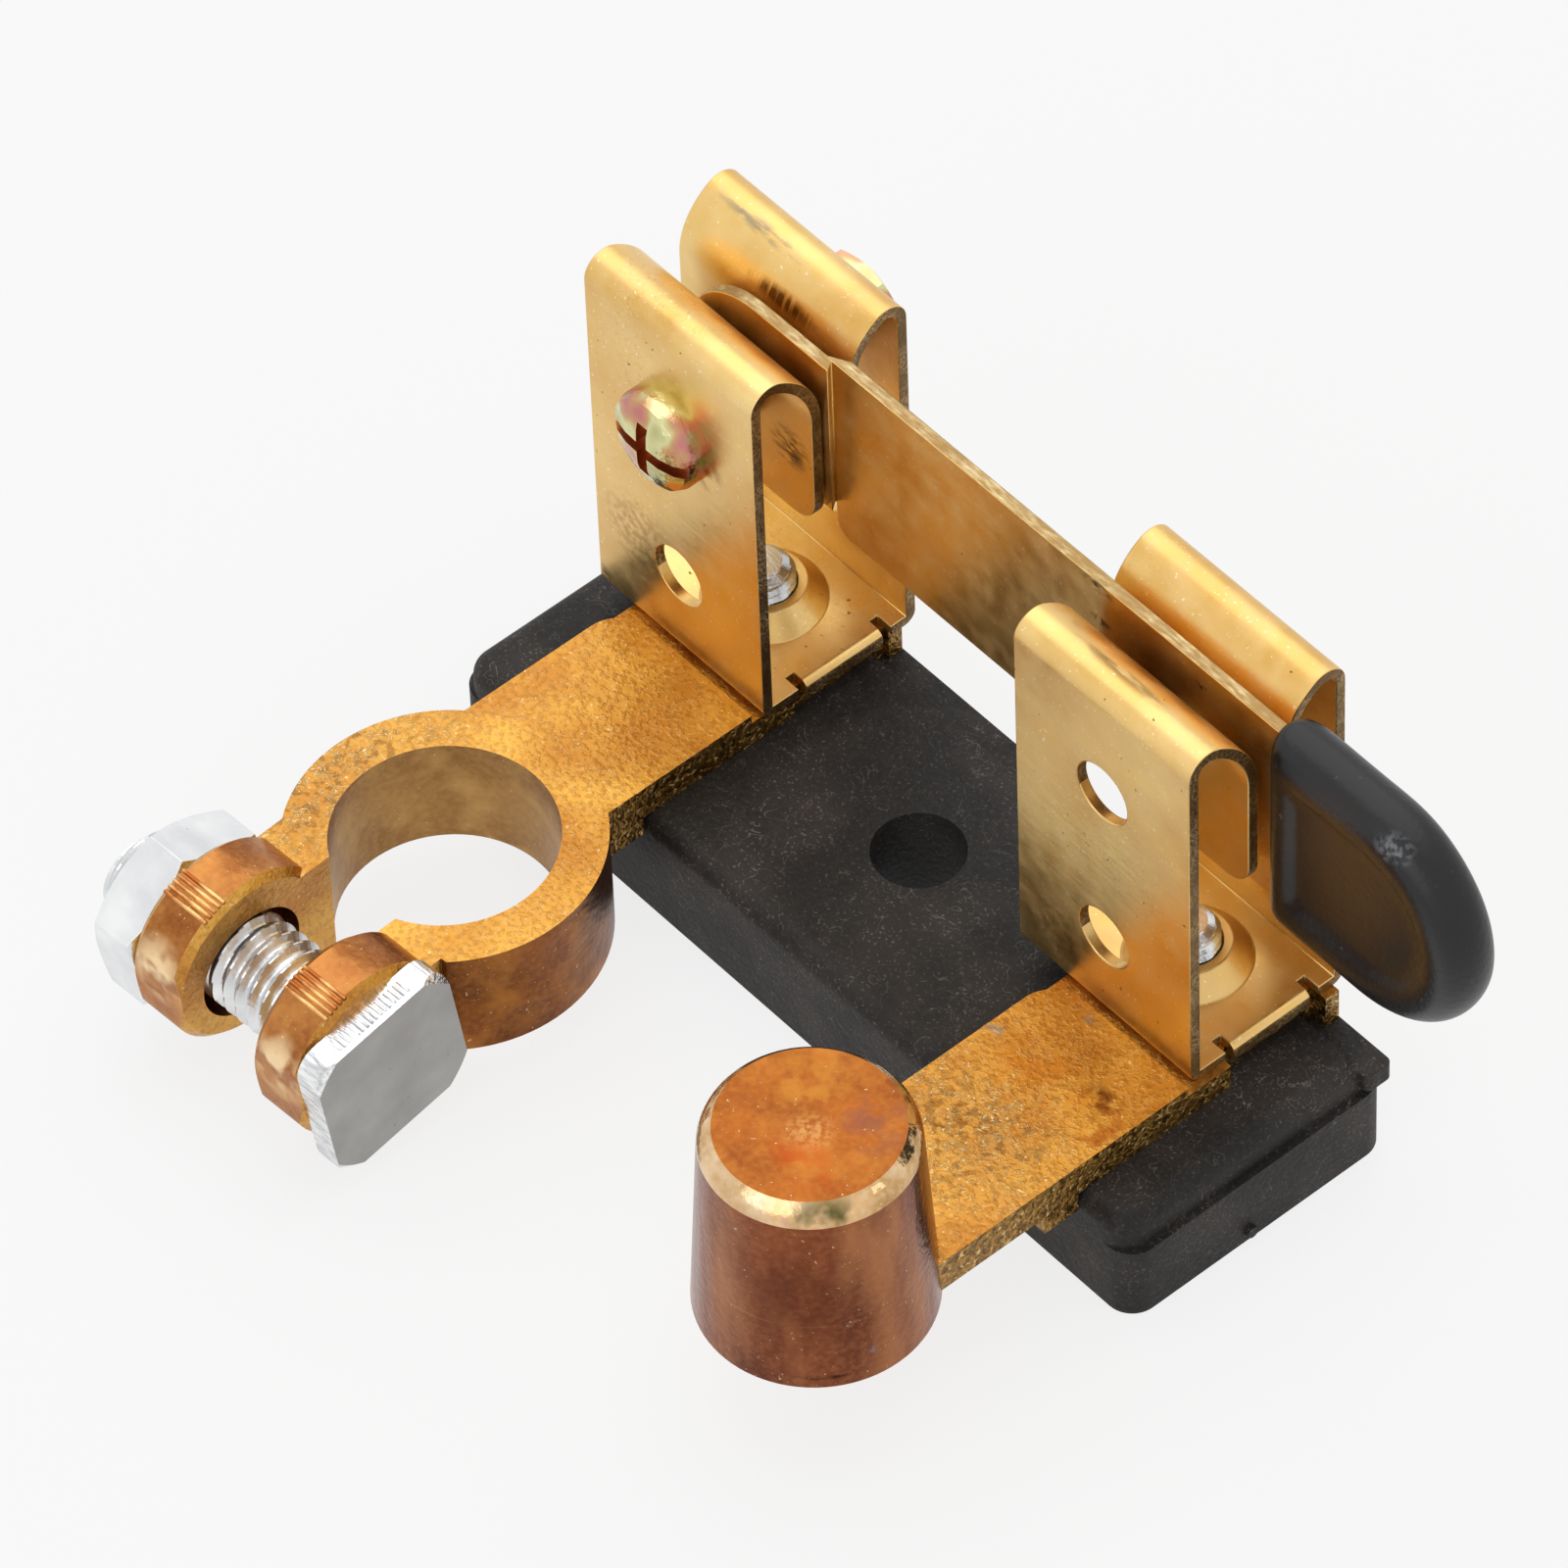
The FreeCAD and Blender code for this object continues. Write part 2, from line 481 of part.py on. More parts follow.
def make_grip():
    """Dipped sleeve: a D-shaped pad with a bevelled rim and a dished middle."""
    half = GRIP_HEIGHT / 2
    y0 = GRIP_MID_Y - GRIP_THICKNESS / 2
    round_x = GRIP_TIP_X - half
    pad = box(GRIP_MOUTH_X, round_x, y0, y0 + GRIP_THICKNESS,
              GRIP_MID_Z - half, GRIP_MID_Z + half)
    pad = pad.fuse(rod(half, (round_x, y0, GRIP_MID_Z), (0, 1, 0), GRIP_THICKNESS))
    pad = pad.removeSplitter()
    rim = edges_where(pad, lambda m, e: (abs(m.y - y0) < 1e-6
                      or abs(m.y - y0 - GRIP_THICKNESS) < 1e-6) and m.x > GRIP_MOUTH_X + 1e-3)
    pad = pad.makeChamfer(GRIP_EDGE_BEVEL, rim)
    dish_half = half - GRIP_DISH_INSET
    for face_y in (y0 - 1, y0 + GRIP_THICKNESS - GRIP_DISH_DEPTH):
        dish = box(GRIP_MOUTH_X + GRIP_DISH_INSET, round_x, face_y, face_y + 1 + GRIP_DISH_DEPTH,
                   GRIP_MID_Z - dish_half, GRIP_MID_Z + dish_half)
        dish = dish.fuse(rod(dish_half, (round_x, face_y, GRIP_MID_Z), (0, 1, 0),
                             1 + GRIP_DISH_DEPTH))
        pad = pad.cut(dish.removeSplitter())
    pocket = box(GRIP_MOUTH_X - 1, BLADE_TIP_X - BLADE_HEIGHT / 2,
                 BLADE_FACE_Y - GRIP_FIT, BLADE_FACE_Y + BLADE_T + GRIP_FIT,
                 BLADE_LOW_Z - GRIP_FIT, BLADE_TOP_Z + GRIP_FIT)
    end = rod(BLADE_HEIGHT / 2 + GRIP_FIT,
              (BLADE_TIP_X - BLADE_HEIGHT / 2, BLADE_FACE_Y - GRIP_FIT, BLADE_MID_Z),
              (0, 1, 0), BLADE_T + 2 * GRIP_FIT)
    return pad.cut([pocket, end])


def make_pivot_screw():
    """Domed screw that carries the blade; its head is on the front wall."""
    head = pan_head(M5_HEAD_R, M5_HEAD_H, (PIVOT_X, WALL_FRONT_Y, PIVOT_Z), (0, -1, 0))
    crown_y = WALL_FRONT_Y - M5_HEAD_H
    for reach, turn in ((M5_HEAD_R + 1, 0), (M5_CROSS_R, 90)):
        groove = box(-reach, reach, crown_y - 1, crown_y + M5_SLOT_DEPTH,
                     -M5_SLOT_WIDTH / 2, M5_SLOT_WIDTH / 2)
        groove.Placement = Placement(Vector(PIVOT_X, 0, PIVOT_Z), Rotation(Vector(0, 1, 0), turn))
        head = head.cut(groove)
    return head.fuse(rod(M5_R, (PIVOT_X, WALL_FRONT_Y, PIVOT_Z), (0, 1, 0), PIVOT_SCREW_LENGTH))


def make_pivot_nut():
    """Hexagon nut on the rear wall."""
    nut = hexagon(M5_NUT_AF, M5_NUT_H, (PIVOT_X, WALL_REAR_Y, PIVOT_Z), (0, 1, 0))
    return nut.cut(rod(M5_R + THREAD_FIT, (PIVOT_X, WALL_REAR_Y - 1, PIVOT_Z), (0, 1, 0),
                       M5_NUT_H + 2))


def make_base_screw(screw_x):
    """Screw from below that clamps base, arm and bracket together."""
    seat_z = SCREW_POCKET_DEPTH
    head = rod(M5_HEAD_R, (screw_x, SCREW_LINE_Y, seat_z), (0, 0, -1), M5_HEAD_H)
    crown = [e for e in head.Edges if e.Closed and e.BoundBox.ZMax < seat_z - 1]
    head = head.makeChamfer(M5_HEAD_BEVEL, crown)
    for turn in (0, 90):
        groove = box(-M5_CROSS_R, M5_CROSS_R, -M5_SLOT_WIDTH / 2, M5_SLOT_WIDTH / 2,
                     -1, M5_SLOT_DEPTH)
        groove.Placement = Placement(Vector(screw_x, SCREW_LINE_Y, seat_z - M5_HEAD_H),
                                     Rotation(Vector(0, 0, 1), turn))
        head = head.cut(groove)
    shank = rod(M5_R, (screw_x, SCREW_LINE_Y, seat_z), (0, 0, 1), BASE_SCREW_LENGTH)
    tip = [e for e in shank.Edges if e.Closed and e.BoundBox.ZMin > seat_z + 1]
    return head.fuse(shank.makeChamfer(M5_TIP_BEVEL, tip))


def make_clamp_bolt():
    """Square-headed bolt through both ears of the clamp."""
    half = M8_HEAD_AF / 2
    head = box(0, M8_HEAD_H, -half, half, -half, half)
    long_edges = [e for e in head.Edges if e.BoundBox.XLength > M8_HEAD_H - 0.1]
    head = head.makeFillet(M8_HEAD_CORNER_R, long_edges)
    turned = Part.makeCone(half + M8_HEAD_RISE + M8_HEAD_H, half + M8_HEAD_RISE, M8_HEAD_H,
                           Vector(0, 0, 0), Vector(1, 0, 0))
    head = head.common(turned)
    head.Placement = Placement(Vector(HEAD_SEAT_X, -BOLT_REACH, BOLT_Z),
                               Rotation(Vector(1, 0, 0), M8_HEAD_TURN))
    shank = rod(M8_R, (HEAD_SEAT_X - M8_LENGTH, -BOLT_REACH, BOLT_Z), (1, 0, 0), M8_LENGTH)
    tip = [e for e in shank.Edges if e.Closed and e.BoundBox.XMax < HEAD_SEAT_X - 1]
    return on_clamp(head.fuse(shank.makeChamfer(M8_TIP_BEVEL, tip)))


def make_clamp_nut():
    """Hexagon nut of the clamp bolt, outside the far ear."""
    nut = hexagon(M8_NUT_AF, M8_NUT_H, (NUT_SEAT_X, -BOLT_REACH, BOLT_Z), (-1, 0, 0),
                  M8_NUT_TURN)
    return on_clamp(nut.cut(rod(M8_R + RUNNING_FIT, (NUT_SEAT_X + 1, -BOLT_REACH, BOLT_Z),
                                (-1, 0, 0), M8_NUT_H + 2)))


def main():
    """Build every piece and write one STEP file for each."""
    os.makedirs("parts", exist_ok=True)
    pieces = {
        "base": make_base(),
        "clamp_arm": make_clamp_arm(),
        "post_arm": make_post_arm(),
        "pivot_bracket": make_bracket(CLAMP_SIDE_X),
        "jaw_bracket": make_bracket(POST_SIDE_X),
        "blade": make_blade(),
        "handle_grip": make_grip(),
        "pivot_screw": make_pivot_screw(),
        "pivot_nut": make_pivot_nut(),
        "base_screw_clamp_side": make_base_screw(CLAMP_SIDE_X),
        "base_screw_post_side": make_base_screw(POST_SIDE_X),
        "clamp_bolt": make_clamp_bolt(),
        "clamp_nut": make_clamp_nut(),
    }
    for name, shape in pieces.items():
        shape = shape.removeSplitter()
        shape.exportStep("parts/" + name + ".step")
        print(name, len(shape.Solids), shape.isValid(), round(shape.Volume, 1))


main()
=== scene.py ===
import json
import math

import bmesh
import bpy
from mathutils import Matrix, Vector, noise


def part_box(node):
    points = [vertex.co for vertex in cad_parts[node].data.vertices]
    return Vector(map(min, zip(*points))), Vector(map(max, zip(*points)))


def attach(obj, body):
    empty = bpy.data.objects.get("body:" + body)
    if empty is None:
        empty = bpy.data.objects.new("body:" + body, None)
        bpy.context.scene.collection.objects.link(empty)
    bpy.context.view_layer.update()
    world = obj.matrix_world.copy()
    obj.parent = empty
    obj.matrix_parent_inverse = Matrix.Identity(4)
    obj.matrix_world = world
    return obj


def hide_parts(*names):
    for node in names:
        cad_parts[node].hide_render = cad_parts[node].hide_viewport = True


bl_info = {
    "name": "Battery disconnect switch",
    "version": (1, 0, 0),
    "blender": (4, 5, 0),
    "location": "3D Viewport > Sidebar > Switch",
    "description": "Dresses a knife-blade battery switch: sheet brass, cast arms, fasteners, base and grip",
    "category": "Object",
}

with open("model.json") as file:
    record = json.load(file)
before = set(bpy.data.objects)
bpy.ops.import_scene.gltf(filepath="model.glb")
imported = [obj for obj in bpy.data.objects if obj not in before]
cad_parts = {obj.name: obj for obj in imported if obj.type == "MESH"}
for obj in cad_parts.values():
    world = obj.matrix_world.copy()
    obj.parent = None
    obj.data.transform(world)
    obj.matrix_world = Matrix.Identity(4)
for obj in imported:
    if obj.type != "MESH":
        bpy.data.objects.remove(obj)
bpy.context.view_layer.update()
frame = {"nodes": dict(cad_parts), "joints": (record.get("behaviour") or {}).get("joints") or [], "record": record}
MM = 0.001

# The mix node's sockets for colours
MIX_FACTOR = 0
MIX_A = 6
MIX_B = 7
MIX_RESULT = 2

# The rounded ears of the clamp: their radius, and how far their middle stands above the bolt
EAR_RADIUS = 7.35 * MM
EAR_RISE = 0.65 * MM

# Without a seed this noise starts from the clock, and the handle differs from run to run
WOBBLE_SEED = 7

# Marks on the metal, stains and wear and also painted shade, shadows, highlights and reflections: middle and
# half sizes in millimetres, colour, strength, size of the torn grain in millimetres, and its stretch along X, Y
# and Z
PIVOT_MARKS = (
    ((-23.2, 8.3, 44.5), (4.2, 1.3, 0.9), "5E4018", 0.9, 0.5, (1, 0.12, 0.12)),
    ((-28.0, 10.4, 46.9), (5.5, 0.9, 0.5), "8C8472", 0.7, 0.6, (0.3, 1, 1)),
    ((-18.0, 4.2, 36.0), (2.4, 0.5, 2.4), "4E3414", 0.95, 0.6, (0.4, 1, 1.2)),
    # painted shade in the lower left corner of the front wall, where it meets the arm
    ((-33.6, -1.4, 13.2), (2.0, 0.8, 1.6), "3E2A10", 0.8, 1.4, (1, 1, 1)),
    # painted shadow of the pivot screw's head on the front wall beside it
    ((-20.6, -1.4, 35.2), (2.0, 0.6, 2.4), "8A5A20", 0.7, 1.6, (1, 1, 1)),
    # painted orange-brown reflection of the clamp arm on the lower half of the front wall
    ((-29.0, -1.4, 21.5), (4.5, 0.8, 4.5), "A87A38", 0.6, 0.7, (1, 1, 1)),
)
JAW_MARKS = (
    ((21.5, 1.1, 47.1), (5.5, 0.9, 0.6), "8A6A38", 0.75, 0.7, (0.25, 1, 1)),
    # painted orange-brown reflection of the post arm on the lower left of the front wall
    ((17.0, -1.4, 17.0), (4.0, 0.8, 4.0), "A87A38", 0.5, 0.7, (1, 1, 1)),
)
# Painted shade on the blade where it runs into the jaw, between the jaw's sheets
BLADE_MARKS = (
    ((13.2, 6.1, 45.4), (1.8, 1.2, 0.8), "4A3414", 0.9, 0.6, (0.5, 1, 1)),
    ((13.5, 6.1, 42.0), (1.3, 1.2, 0.5), "5A3E18", 0.8, 0.4, (1, 1, 0.4)),
    ((24.0, 6.1, 44.0), (0.7, 1.2, 0.5), "4A3414", 0.8, 0.4, (1, 1, 1)),
)
POST_MARKS = (
    ((18.1, -8.6, 13.1), (1.2, 0.6, 0.6), "9A9488", 0.7, 1.2, (1, 1, 1)),
    ((21.9, -3.1, 13.1), (1.5, 0.5, 0.6), "9A9488", 0.8, 1.2, (1, 1, 1)),
    ((28.3, -7.4, 13.1), (2.2, 1.2, 0.6), "6E3A12", 0.9, 1.4, (1, 1, 1)),
    ((30.4, -9.4, 13.1), (1.6, 3.5, 0.6), "A85A20", 0.7, 1.4, (1, 1, 1)),
    ((24.0, -9.5, 13.1), (6.0, 4.0, 0.6), "C27A28", 0.6, 2.2, (1, 1, 1)),
)
STUD_MARKS = (
    ((33.8, -34.1, 12.4), (0.6, 0.6, 0.5), "7E8A88", 0.8, 1.2, (1, 1, 1)),
    ((33.0, -35.9, 15.7), (0.5, 0.5, 0.3), "7E8A88", 0.7, 1.2, (1, 1, 1)),
    ((25.3, -32.0, 16.0), (12.0, 12.0, 0.16), "B8875A", 0.6, 1.2, (1, 1, 1)),
    ((32.2, -37.4, 10.6), (3.0, 2.4, 0.3), "2A150C", 0.9, 0.8, (0.3, 0.3, 1)),
    # painted dark reflection: a broad darker patch on the side of the stud that faces the camera
    ((30.6, -38.2, 19.5), (5.0, 4.5, 7.5), "4E2414", 0.55, 3.0, (1, 1, 0.4)),
)
CAP_MARKS = (
    ((25.9, -32.6, 28.0), (2.2, 2.2, 0.4), "C08A50", 0.8, 0.5, (1, 1, 1)),
    ((22.5, -29.5, 28.0), (3.6, 3.6, 0.4), "B57A30", 0.6, 2.0, (1, 1, 1)),
    ((27.5, -34.5, 28.0), (4.0, 2.2, 0.4), "A8441A", 0.6, 2.0, (1, 1, 1)),
    ((28.5, -28.5, 28.0), (3.2, 3.2, 0.4), "7A4A40", 0.6, 2.0, (1, 1, 1)),
)
# Painted reflections on the stud's shoulder: a dark olive patch and a pink highlight
SHOULDER_MARKS = (
    ((31.6, -36.2, 26.8), (3.2, 3.2, 1.8), "5E5A30", 0.95, 2.0, (1, 1, 1)),
    ((28.6, -39.3, 26.6), (2.2, 2.2, 1.4), "E8A0A4", 0.8, 2.0, (1, 1, 1)),
)


def hex_colour(text):
    """Turns an sRGB hex value into linear red, green, blue and alpha."""
    linear = []
    for start in (0, 2, 4):
        value = int(text[start:start + 2], 16) / 255
        linear.append(value / 12.92 if value <= 0.04045 else ((value + 0.055) / 1.055) ** 2.4)
    return (*linear, 1.0)


def per_mm(size):
    """The texture scale at which one feature is this many millimetres across."""
    return 1 / (size * MM)


def colour_prop(name, text, description):
    """A colour that a user can change."""
    return bpy.props.FloatVectorProperty(
        name=name, description=description, default=hex_colour(text), size=4,
        min=0, max=1, subtype="COLOR")


def length_prop(name, millimetres, description):
    """A length that a user can change, kept in metres."""
    return bpy.props.FloatProperty(
        name=name, description=description, default=millimetres * MM, min=0,
        unit="LENGTH", subtype="DISTANCE")


class SwitchFinish(bpy.types.PropertyGroup):
    """Colours of the metals and plastics, and the wear on their edges."""

    sheet_gold: colour_prop("Sheet gold", "F0CE84", "Clean rolled brass")
    sheet_tan: colour_prop("Sheet tan", "DCAE5E", "Tarnished rolled brass")
    cast_gold: colour_prop("Cast gold", "E0AC50", "Clean skin of the cast arms")
    cast_brown: colour_prop("Cast brown", "BC8038", "Tarnished skin of the cast arms")
    zinc: colour_prop("Zinc", "F1F2F2", "Bright zinc plating")
    dull_zinc: colour_prop("Dull zinc", "ABA9A6", "Zinc on the front of the square head")
    base_black: colour_prop("Base black", "24211F", "Moulded base")
    grip_black: colour_prop("Grip black", "131314", "Dipped handle")
    sheet_edge: length_prop("Sheet edge", 0.1, "Width of the broken edges on the sheet metal")
    cast_edge: length_prop("Cast edge", 0.28, "Width of the worn edges on the castings")
    base_edge: length_prop("Base edge", 0.2, "Width of the soft edges on the moulded base")


class SwitchThread(bpy.types.PropertyGroup):
    """Sizes of the screw threads."""

    m8_pitch: length_prop("M8 pitch", 1.25, "Distance between two turns of the clamp bolt")
    m8_depth: length_prop("M8 depth", 0.55, "Depth of the clamp bolt's thread")
    m5_pitch: length_prop("M5 pitch", 0.8, "Distance between two turns of the small screws")
    m5_depth: length_prop("M5 depth", 0.36, "Depth of the small screws' thread")
    tip_bevel: length_prop("Tip bevel", 0.7, "Bevel at a screw's end")


class SwitchGrip(bpy.types.PropertyGroup):
    """Form of the dipped handle."""

    rim_width: length_prop("Rim width", 3.4, "Width of the thick rim around the handle")
    dish_depth: length_prop("Dish depth", 0.65, "How far the middle lies below the rim")
    wobble: length_prop("Wobble", 0.07, "Unevenness of the dipped coating")


class SwitchStage(bpy.types.PropertyGroup):
    """Camera and light."""

    azimuth: bpy.props.FloatProperty(
        name="Azimuth", description="Turn of the camera about the part", default=math.radians(50.83),
        unit="ROTATION", subtype="ANGLE")
    elevation: bpy.props.FloatProperty(
        name="Elevation", description="Height of the camera above the horizon",
        default=math.radians(49.49), unit="ROTATION", subtype="ANGLE")
    roll: bpy.props.FloatProperty(
        name="Roll", description="Turn of the camera about its own axis",
        default=math.radians(-2.43), unit="ROTATION", subtype="ANGLE")
    distance: length_prop("Distance", 972.0, "Camera to the point it looks at")
    lens: bpy.props.FloatProperty(
        name="Lens", description="Focal length in millimetres", default=305.03, min=1)
    target: bpy.props.FloatVectorProperty(
        name="Target", description="Point that the camera looks at",
        default=(-11.42 * MM, -3.07 * MM, 10.0 * MM), subtype="TRANSLATION")
    key_power: bpy.props.FloatProperty(
        name="Key power", description="Power of the overhead soft box", default=2.6, min=0,
        unit="POWER")


def add(tree, kind, inputs=None, stops=None, **settings):
    """Adds one node with its settings, what goes into it, and its stops.

    An input is another node's socket, a colour as a hex value, or a plain value.
    """
    node = tree.nodes.new(kind)
    for name, value in settings.items():
        setattr(node, name, value)
    for name, value in (inputs or {}).items():
        if isinstance(value, bpy.types.NodeSocket):
            tree.links.new(value, node.inputs[name])
        else:
            plain = hex_colour(value) if isinstance(value, str) else value
            node.inputs[name].default_value = plain
    if stops:
        elements = node.color_ramp.elements
        while len(elements) < len(stops):
            elements.new(1.0)
        for element, (position, colour) in zip(elements, stops):
            element.position = position
            element.color = hex_colour(colour) if isinstance(colour, str) else colour
    return node


def start_material(name, metallic, roughness):
    """A material with its shader, and the piece's own coordinates to draw on."""
    material = bpy.data.materials.new(name)
    material.use_nodes = True
    tree = material.node_tree
    tree.nodes.clear()
    shader = add(tree, "ShaderNodeBsdfPrincipled",
                 {"Metallic": metallic, "Roughness": roughness})
    add(tree, "ShaderNodeOutputMaterial", {"Surface": shader.outputs["BSDF"]})
    place = add(tree, "ShaderNodeTexCoord").outputs["Object"]
    return material, tree, shader, place


def grain(tree, place, size, low, high, detail=2.0, distortion=0.0, stretch=None, shift=None):
    """A noise pattern of a real size, cut to run from 0 at low to 1 at high."""
    if stretch or shift:
        place = add(tree, "ShaderNodeMapping",
                    {"Vector": place, "Scale": stretch or (1, 1, 1),
                     "Location": shift or (0, 0, 0)}).outputs[0]
    pattern = add(tree, "ShaderNodeTexNoise", {"Vector": place, "Scale": per_mm(size),
                                               "Detail": detail, "Distortion": distortion})
    spread = add(tree, "ShaderNodeMapRange", {"Value": pattern.outputs[0], "From Min": low,
                                              "From Max": high})
    return spread.outputs[0]


def layer(tree, masks, under, over, strength=1.0):
    """Lays one colour over another where every one of its masks is bright."""
    mask, *rest = masks
    if strength < 1:
        rest.append(strength)
    for share in rest:
        mask = add(tree, "ShaderNodeMath", {0: mask, 1: share}, operation="MULTIPLY").outputs[0]
    mix = add(tree, "ShaderNodeMix", {MIX_FACTOR: mask, MIX_A: under, MIX_B: over},
              data_type="RGBA")
    return mix.outputs[MIX_RESULT]


def worms(tree, place, size, width=0.03):
    """Short curved lines, the crests of a noise pattern of a real size."""
    pattern = add(tree, "ShaderNodeTexNoise", {"Vector": place, "Scale": per_mm(size),
                                               "Detail": 2.0, "Distortion": 1.6})
    crest = add(tree, "ShaderNodeValToRGB", {"Fac": pattern.outputs[0]},
                stops=((0.5 - width, (0, 0, 0, 1)), (0.5, (1, 1, 1, 1)),
                       (0.5 + width, (0, 0, 0, 1))))
    broken = grain(tree, place, size * 1.4, 0.4, 0.56, shift=(4, 1, 6))
    return add(tree, "ShaderNodeMath", {0: crest.outputs[0], 1: broken},
               operation="MULTIPLY").outputs[0]


def patch(tree, place, middle, reach, soft=0.6):
    """A soft patch, 1 about its middle and 0 past its half sizes, both in millimetres."""
    moved = add(tree, "ShaderNodeVectorMath", {0: place, 1: [value * MM for value in middle]},
                operation="SUBTRACT")
    scaled = add(tree, "ShaderNodeVectorMath",
                 {0: moved.outputs[0], 1: [per_mm(value) for value in reach]},
                 operation="MULTIPLY")
    away = add(tree, "ShaderNodeVectorMath", {0: scaled.outputs[0]}, operation="LENGTH")
    inside = add(tree, "ShaderNodeMapRange", {"Value": away.outputs["Value"], "From Min": 1.0,
                                              "From Max": 1.0 - soft})
    return inside.outputs[0]


def stained(tree, place, colour, marks):
    """Draws a piece's marks on its colour: stains, and painted shade, shadows, highlights and reflections."""
    for middle, reach, stain, strength, grit, stretch in marks:
        torn = grain(tree, place, grit, 0.42, 0.58, stretch=stretch)
        where = (patch(tree, place, middle, reach), torn)
        colour = layer(tree, where, colour, stain, strength)
    return colour


def surfaced(tree, shader, colour, heights):
    """Gives a shader its colour and its bumps, each a height pattern and a depth in millimetres."""
    tree.links.new(colour, shader.inputs["Base Color"])
    normal = None
    for height, depth in heights:
        bump = add(tree, "ShaderNodeBump", {"Height": height, "Distance": depth * MM})
        if normal:
            tree.links.new(normal, bump.inputs["Normal"])
        normal = bump.outputs[0]
    tree.links.new(normal, shader.inputs["Normal"])


def rolled_brass(look, name, marks=()):
    """Rolled brass sheet: satin, pale gold, clouded by tarnish and speckled with dust."""
    material, tree, shader, place = start_material(name, 1.0, 0.36)
    cloud = grain(tree, place, 11, 0.36, 0.68, detail=3)
    haze = grain(tree, place, 2.2, 0.3, 0.75, detail=4)
    colour = layer(tree, [cloud], tuple(look.sheet_tan), tuple(look.sheet_gold))
    colour = layer(tree, [haze], colour, "F6DDAE", 0.3)
    field = grain(tree, place, 9, 0.5, 0.66, shift=(6, 2, 1))
    colour = layer(tree, (worms(tree, place, 0.55), field), colour, "B98A4A", 0.6)
    dust = grain(tree, place, 0.3, 0.69, 0.76, detail=1)
    colour = layer(tree, [dust], colour, "FFF3D6", 0.6)
    pits = grain(tree, place, 0.6, 0.74, 0.78, shift=(3, 1, 2))
    colour = layer(tree, [pits], colour, "6B4218", 0.8)
    colour = stained(tree, place, colour, marks)
    polish = add(tree, "ShaderNodeMapRange", {"Value": haze, "To Min": 0.3, "To Max": 0.44})
    tree.links.new(polish.outputs[0], shader.inputs["Roughness"])
    lines = grain(tree, place, 0.5, 0.3, 0.7, stretch=(0.06, 1, 1))
    surfaced(tree, shader, colour, ((lines, 0.005), (pits, 0.02), (haze, 0.015)))
    return material


def sheared_brass(name="sheared_brass_edge", dark="6E5330", pale="BFA273"):
    """Cut edge of the sheet: torn across, dull brown with pale ridges."""
    material, tree, shader, place = start_material(name, 1.0, 0.45)
    tears = grain(tree, place, 0.28, 0.36, 0.68, detail=4, stretch=(0.25, 1, 1))
    cloud = grain(tree, place, 3, 0.35, 0.65, detail=3)
    colour = layer(tree, (tears, cloud), dark, pale)
    surfaced(tree, shader, colour, ((tears, 0.04),))
    return material


def cast_brass(look, name, field, marks=()):
    """Pickled cast brass: brown gold, sandy, with one field of short pale worms of raised grain."""
    material, tree, shader, place = start_material(name, 1.0, 0.36)
    cloud = grain(tree, place, 8, 0.34, 0.68, detail=3)
    colour = layer(tree, [cloud], tuple(look.cast_brown), tuple(look.cast_gold))
    sand = grain(tree, place, 0.45, 0.46, 0.64, detail=3, shift=(2, 4, 1))
    colour = layer(tree, [sand], colour, "94602A", 0.4)
    inside = patch(tree, place, *field, soft=0.7)
    colour = layer(tree, [inside], colour, "B98442", 0.55)
    gaps = grain(tree, place, 0.8, 0.5, 0.6, detail=3, shift=(8, 3, 2))
    colour = layer(tree, (inside, gaps), colour, "74491C", 0.6)
    share = add(tree, "ShaderNodeMapRange", {"Value": inside, "To Min": 0.22, "To Max": 1.0})
    lines = add(tree, "ShaderNodeMath",
                {0: worms(tree, place, 0.8, 0.04), 1: share.outputs[0]},
                operation="MULTIPLY").outputs[0]
    colour = layer(tree, [lines], colour, "F2DFA4", 0.9)
    specks = grain(tree, place, 0.3, 0.68, 0.74, shift=(1, 1, 5))
    colour = layer(tree, [specks], colour, "FBE9B8", 0.5)
    colour = stained(tree, place, colour, marks)
    surfaced(tree, shader, colour, ((lines, 0.04), (sand, 0.02), (cloud, 0.12)))
    return material


def cast_flank(name="cast_brass_flank"):
    """Side of a casting: trimmed off, so dark and torn with bright gold glints."""
    material, tree, shader, place = start_material(name, 1.0, 0.38)
    tears = grain(tree, place, 0.6, 0.38, 0.66, detail=4, distortion=0.6)
    glint = grain(tree, place, 0.4, 0.58, 0.68, detail=3, shift=(1, 2, 3))
    colour = layer(tree, [tears], "6B4A1E", "BE9048")
    colour = layer(tree, [glint], colour, "EBCB86")
    surfaced(tree, shader, colour, ((tears, 0.1), (glint, 0.05)))
    return material


def pickled_skin(name, dark, middle, bright, gloss, stretch=None, marks=()):
    """Pickled casting skin: smooth clouds of brown, finely grained, with a few pale nicks."""
    material, tree, shader, place = start_material(name, 1.0, gloss)
    cloud = grain(tree, place, 6, 0.34, 0.66, detail=3, stretch=stretch)
    bloom = grain(tree, place, 4, 0.48, 0.72, detail=3, stretch=stretch, shift=(4, 4, 1))
    fine = grain(tree, place, 0.5, 0.4, 0.66, detail=3, shift=(3, 2, 8))
    nicks = grain(tree, place, 0.34, 0.7, 0.75, shift=(7, 3, 1))
    colour = layer(tree, [cloud], dark, middle)
    colour = layer(tree, [bloom], colour, bright, 0.7)
    colour = layer(tree, [fine], colour, bright, 0.25)
    colour = layer(tree, [nicks], colour, "EBCFA0", 0.7)
    colour = stained(tree, place, colour, marks)
    surfaced(tree, shader, colour, ((nicks, 0.02), (fine, 0.012), (cloud, 0.1)))
    return material


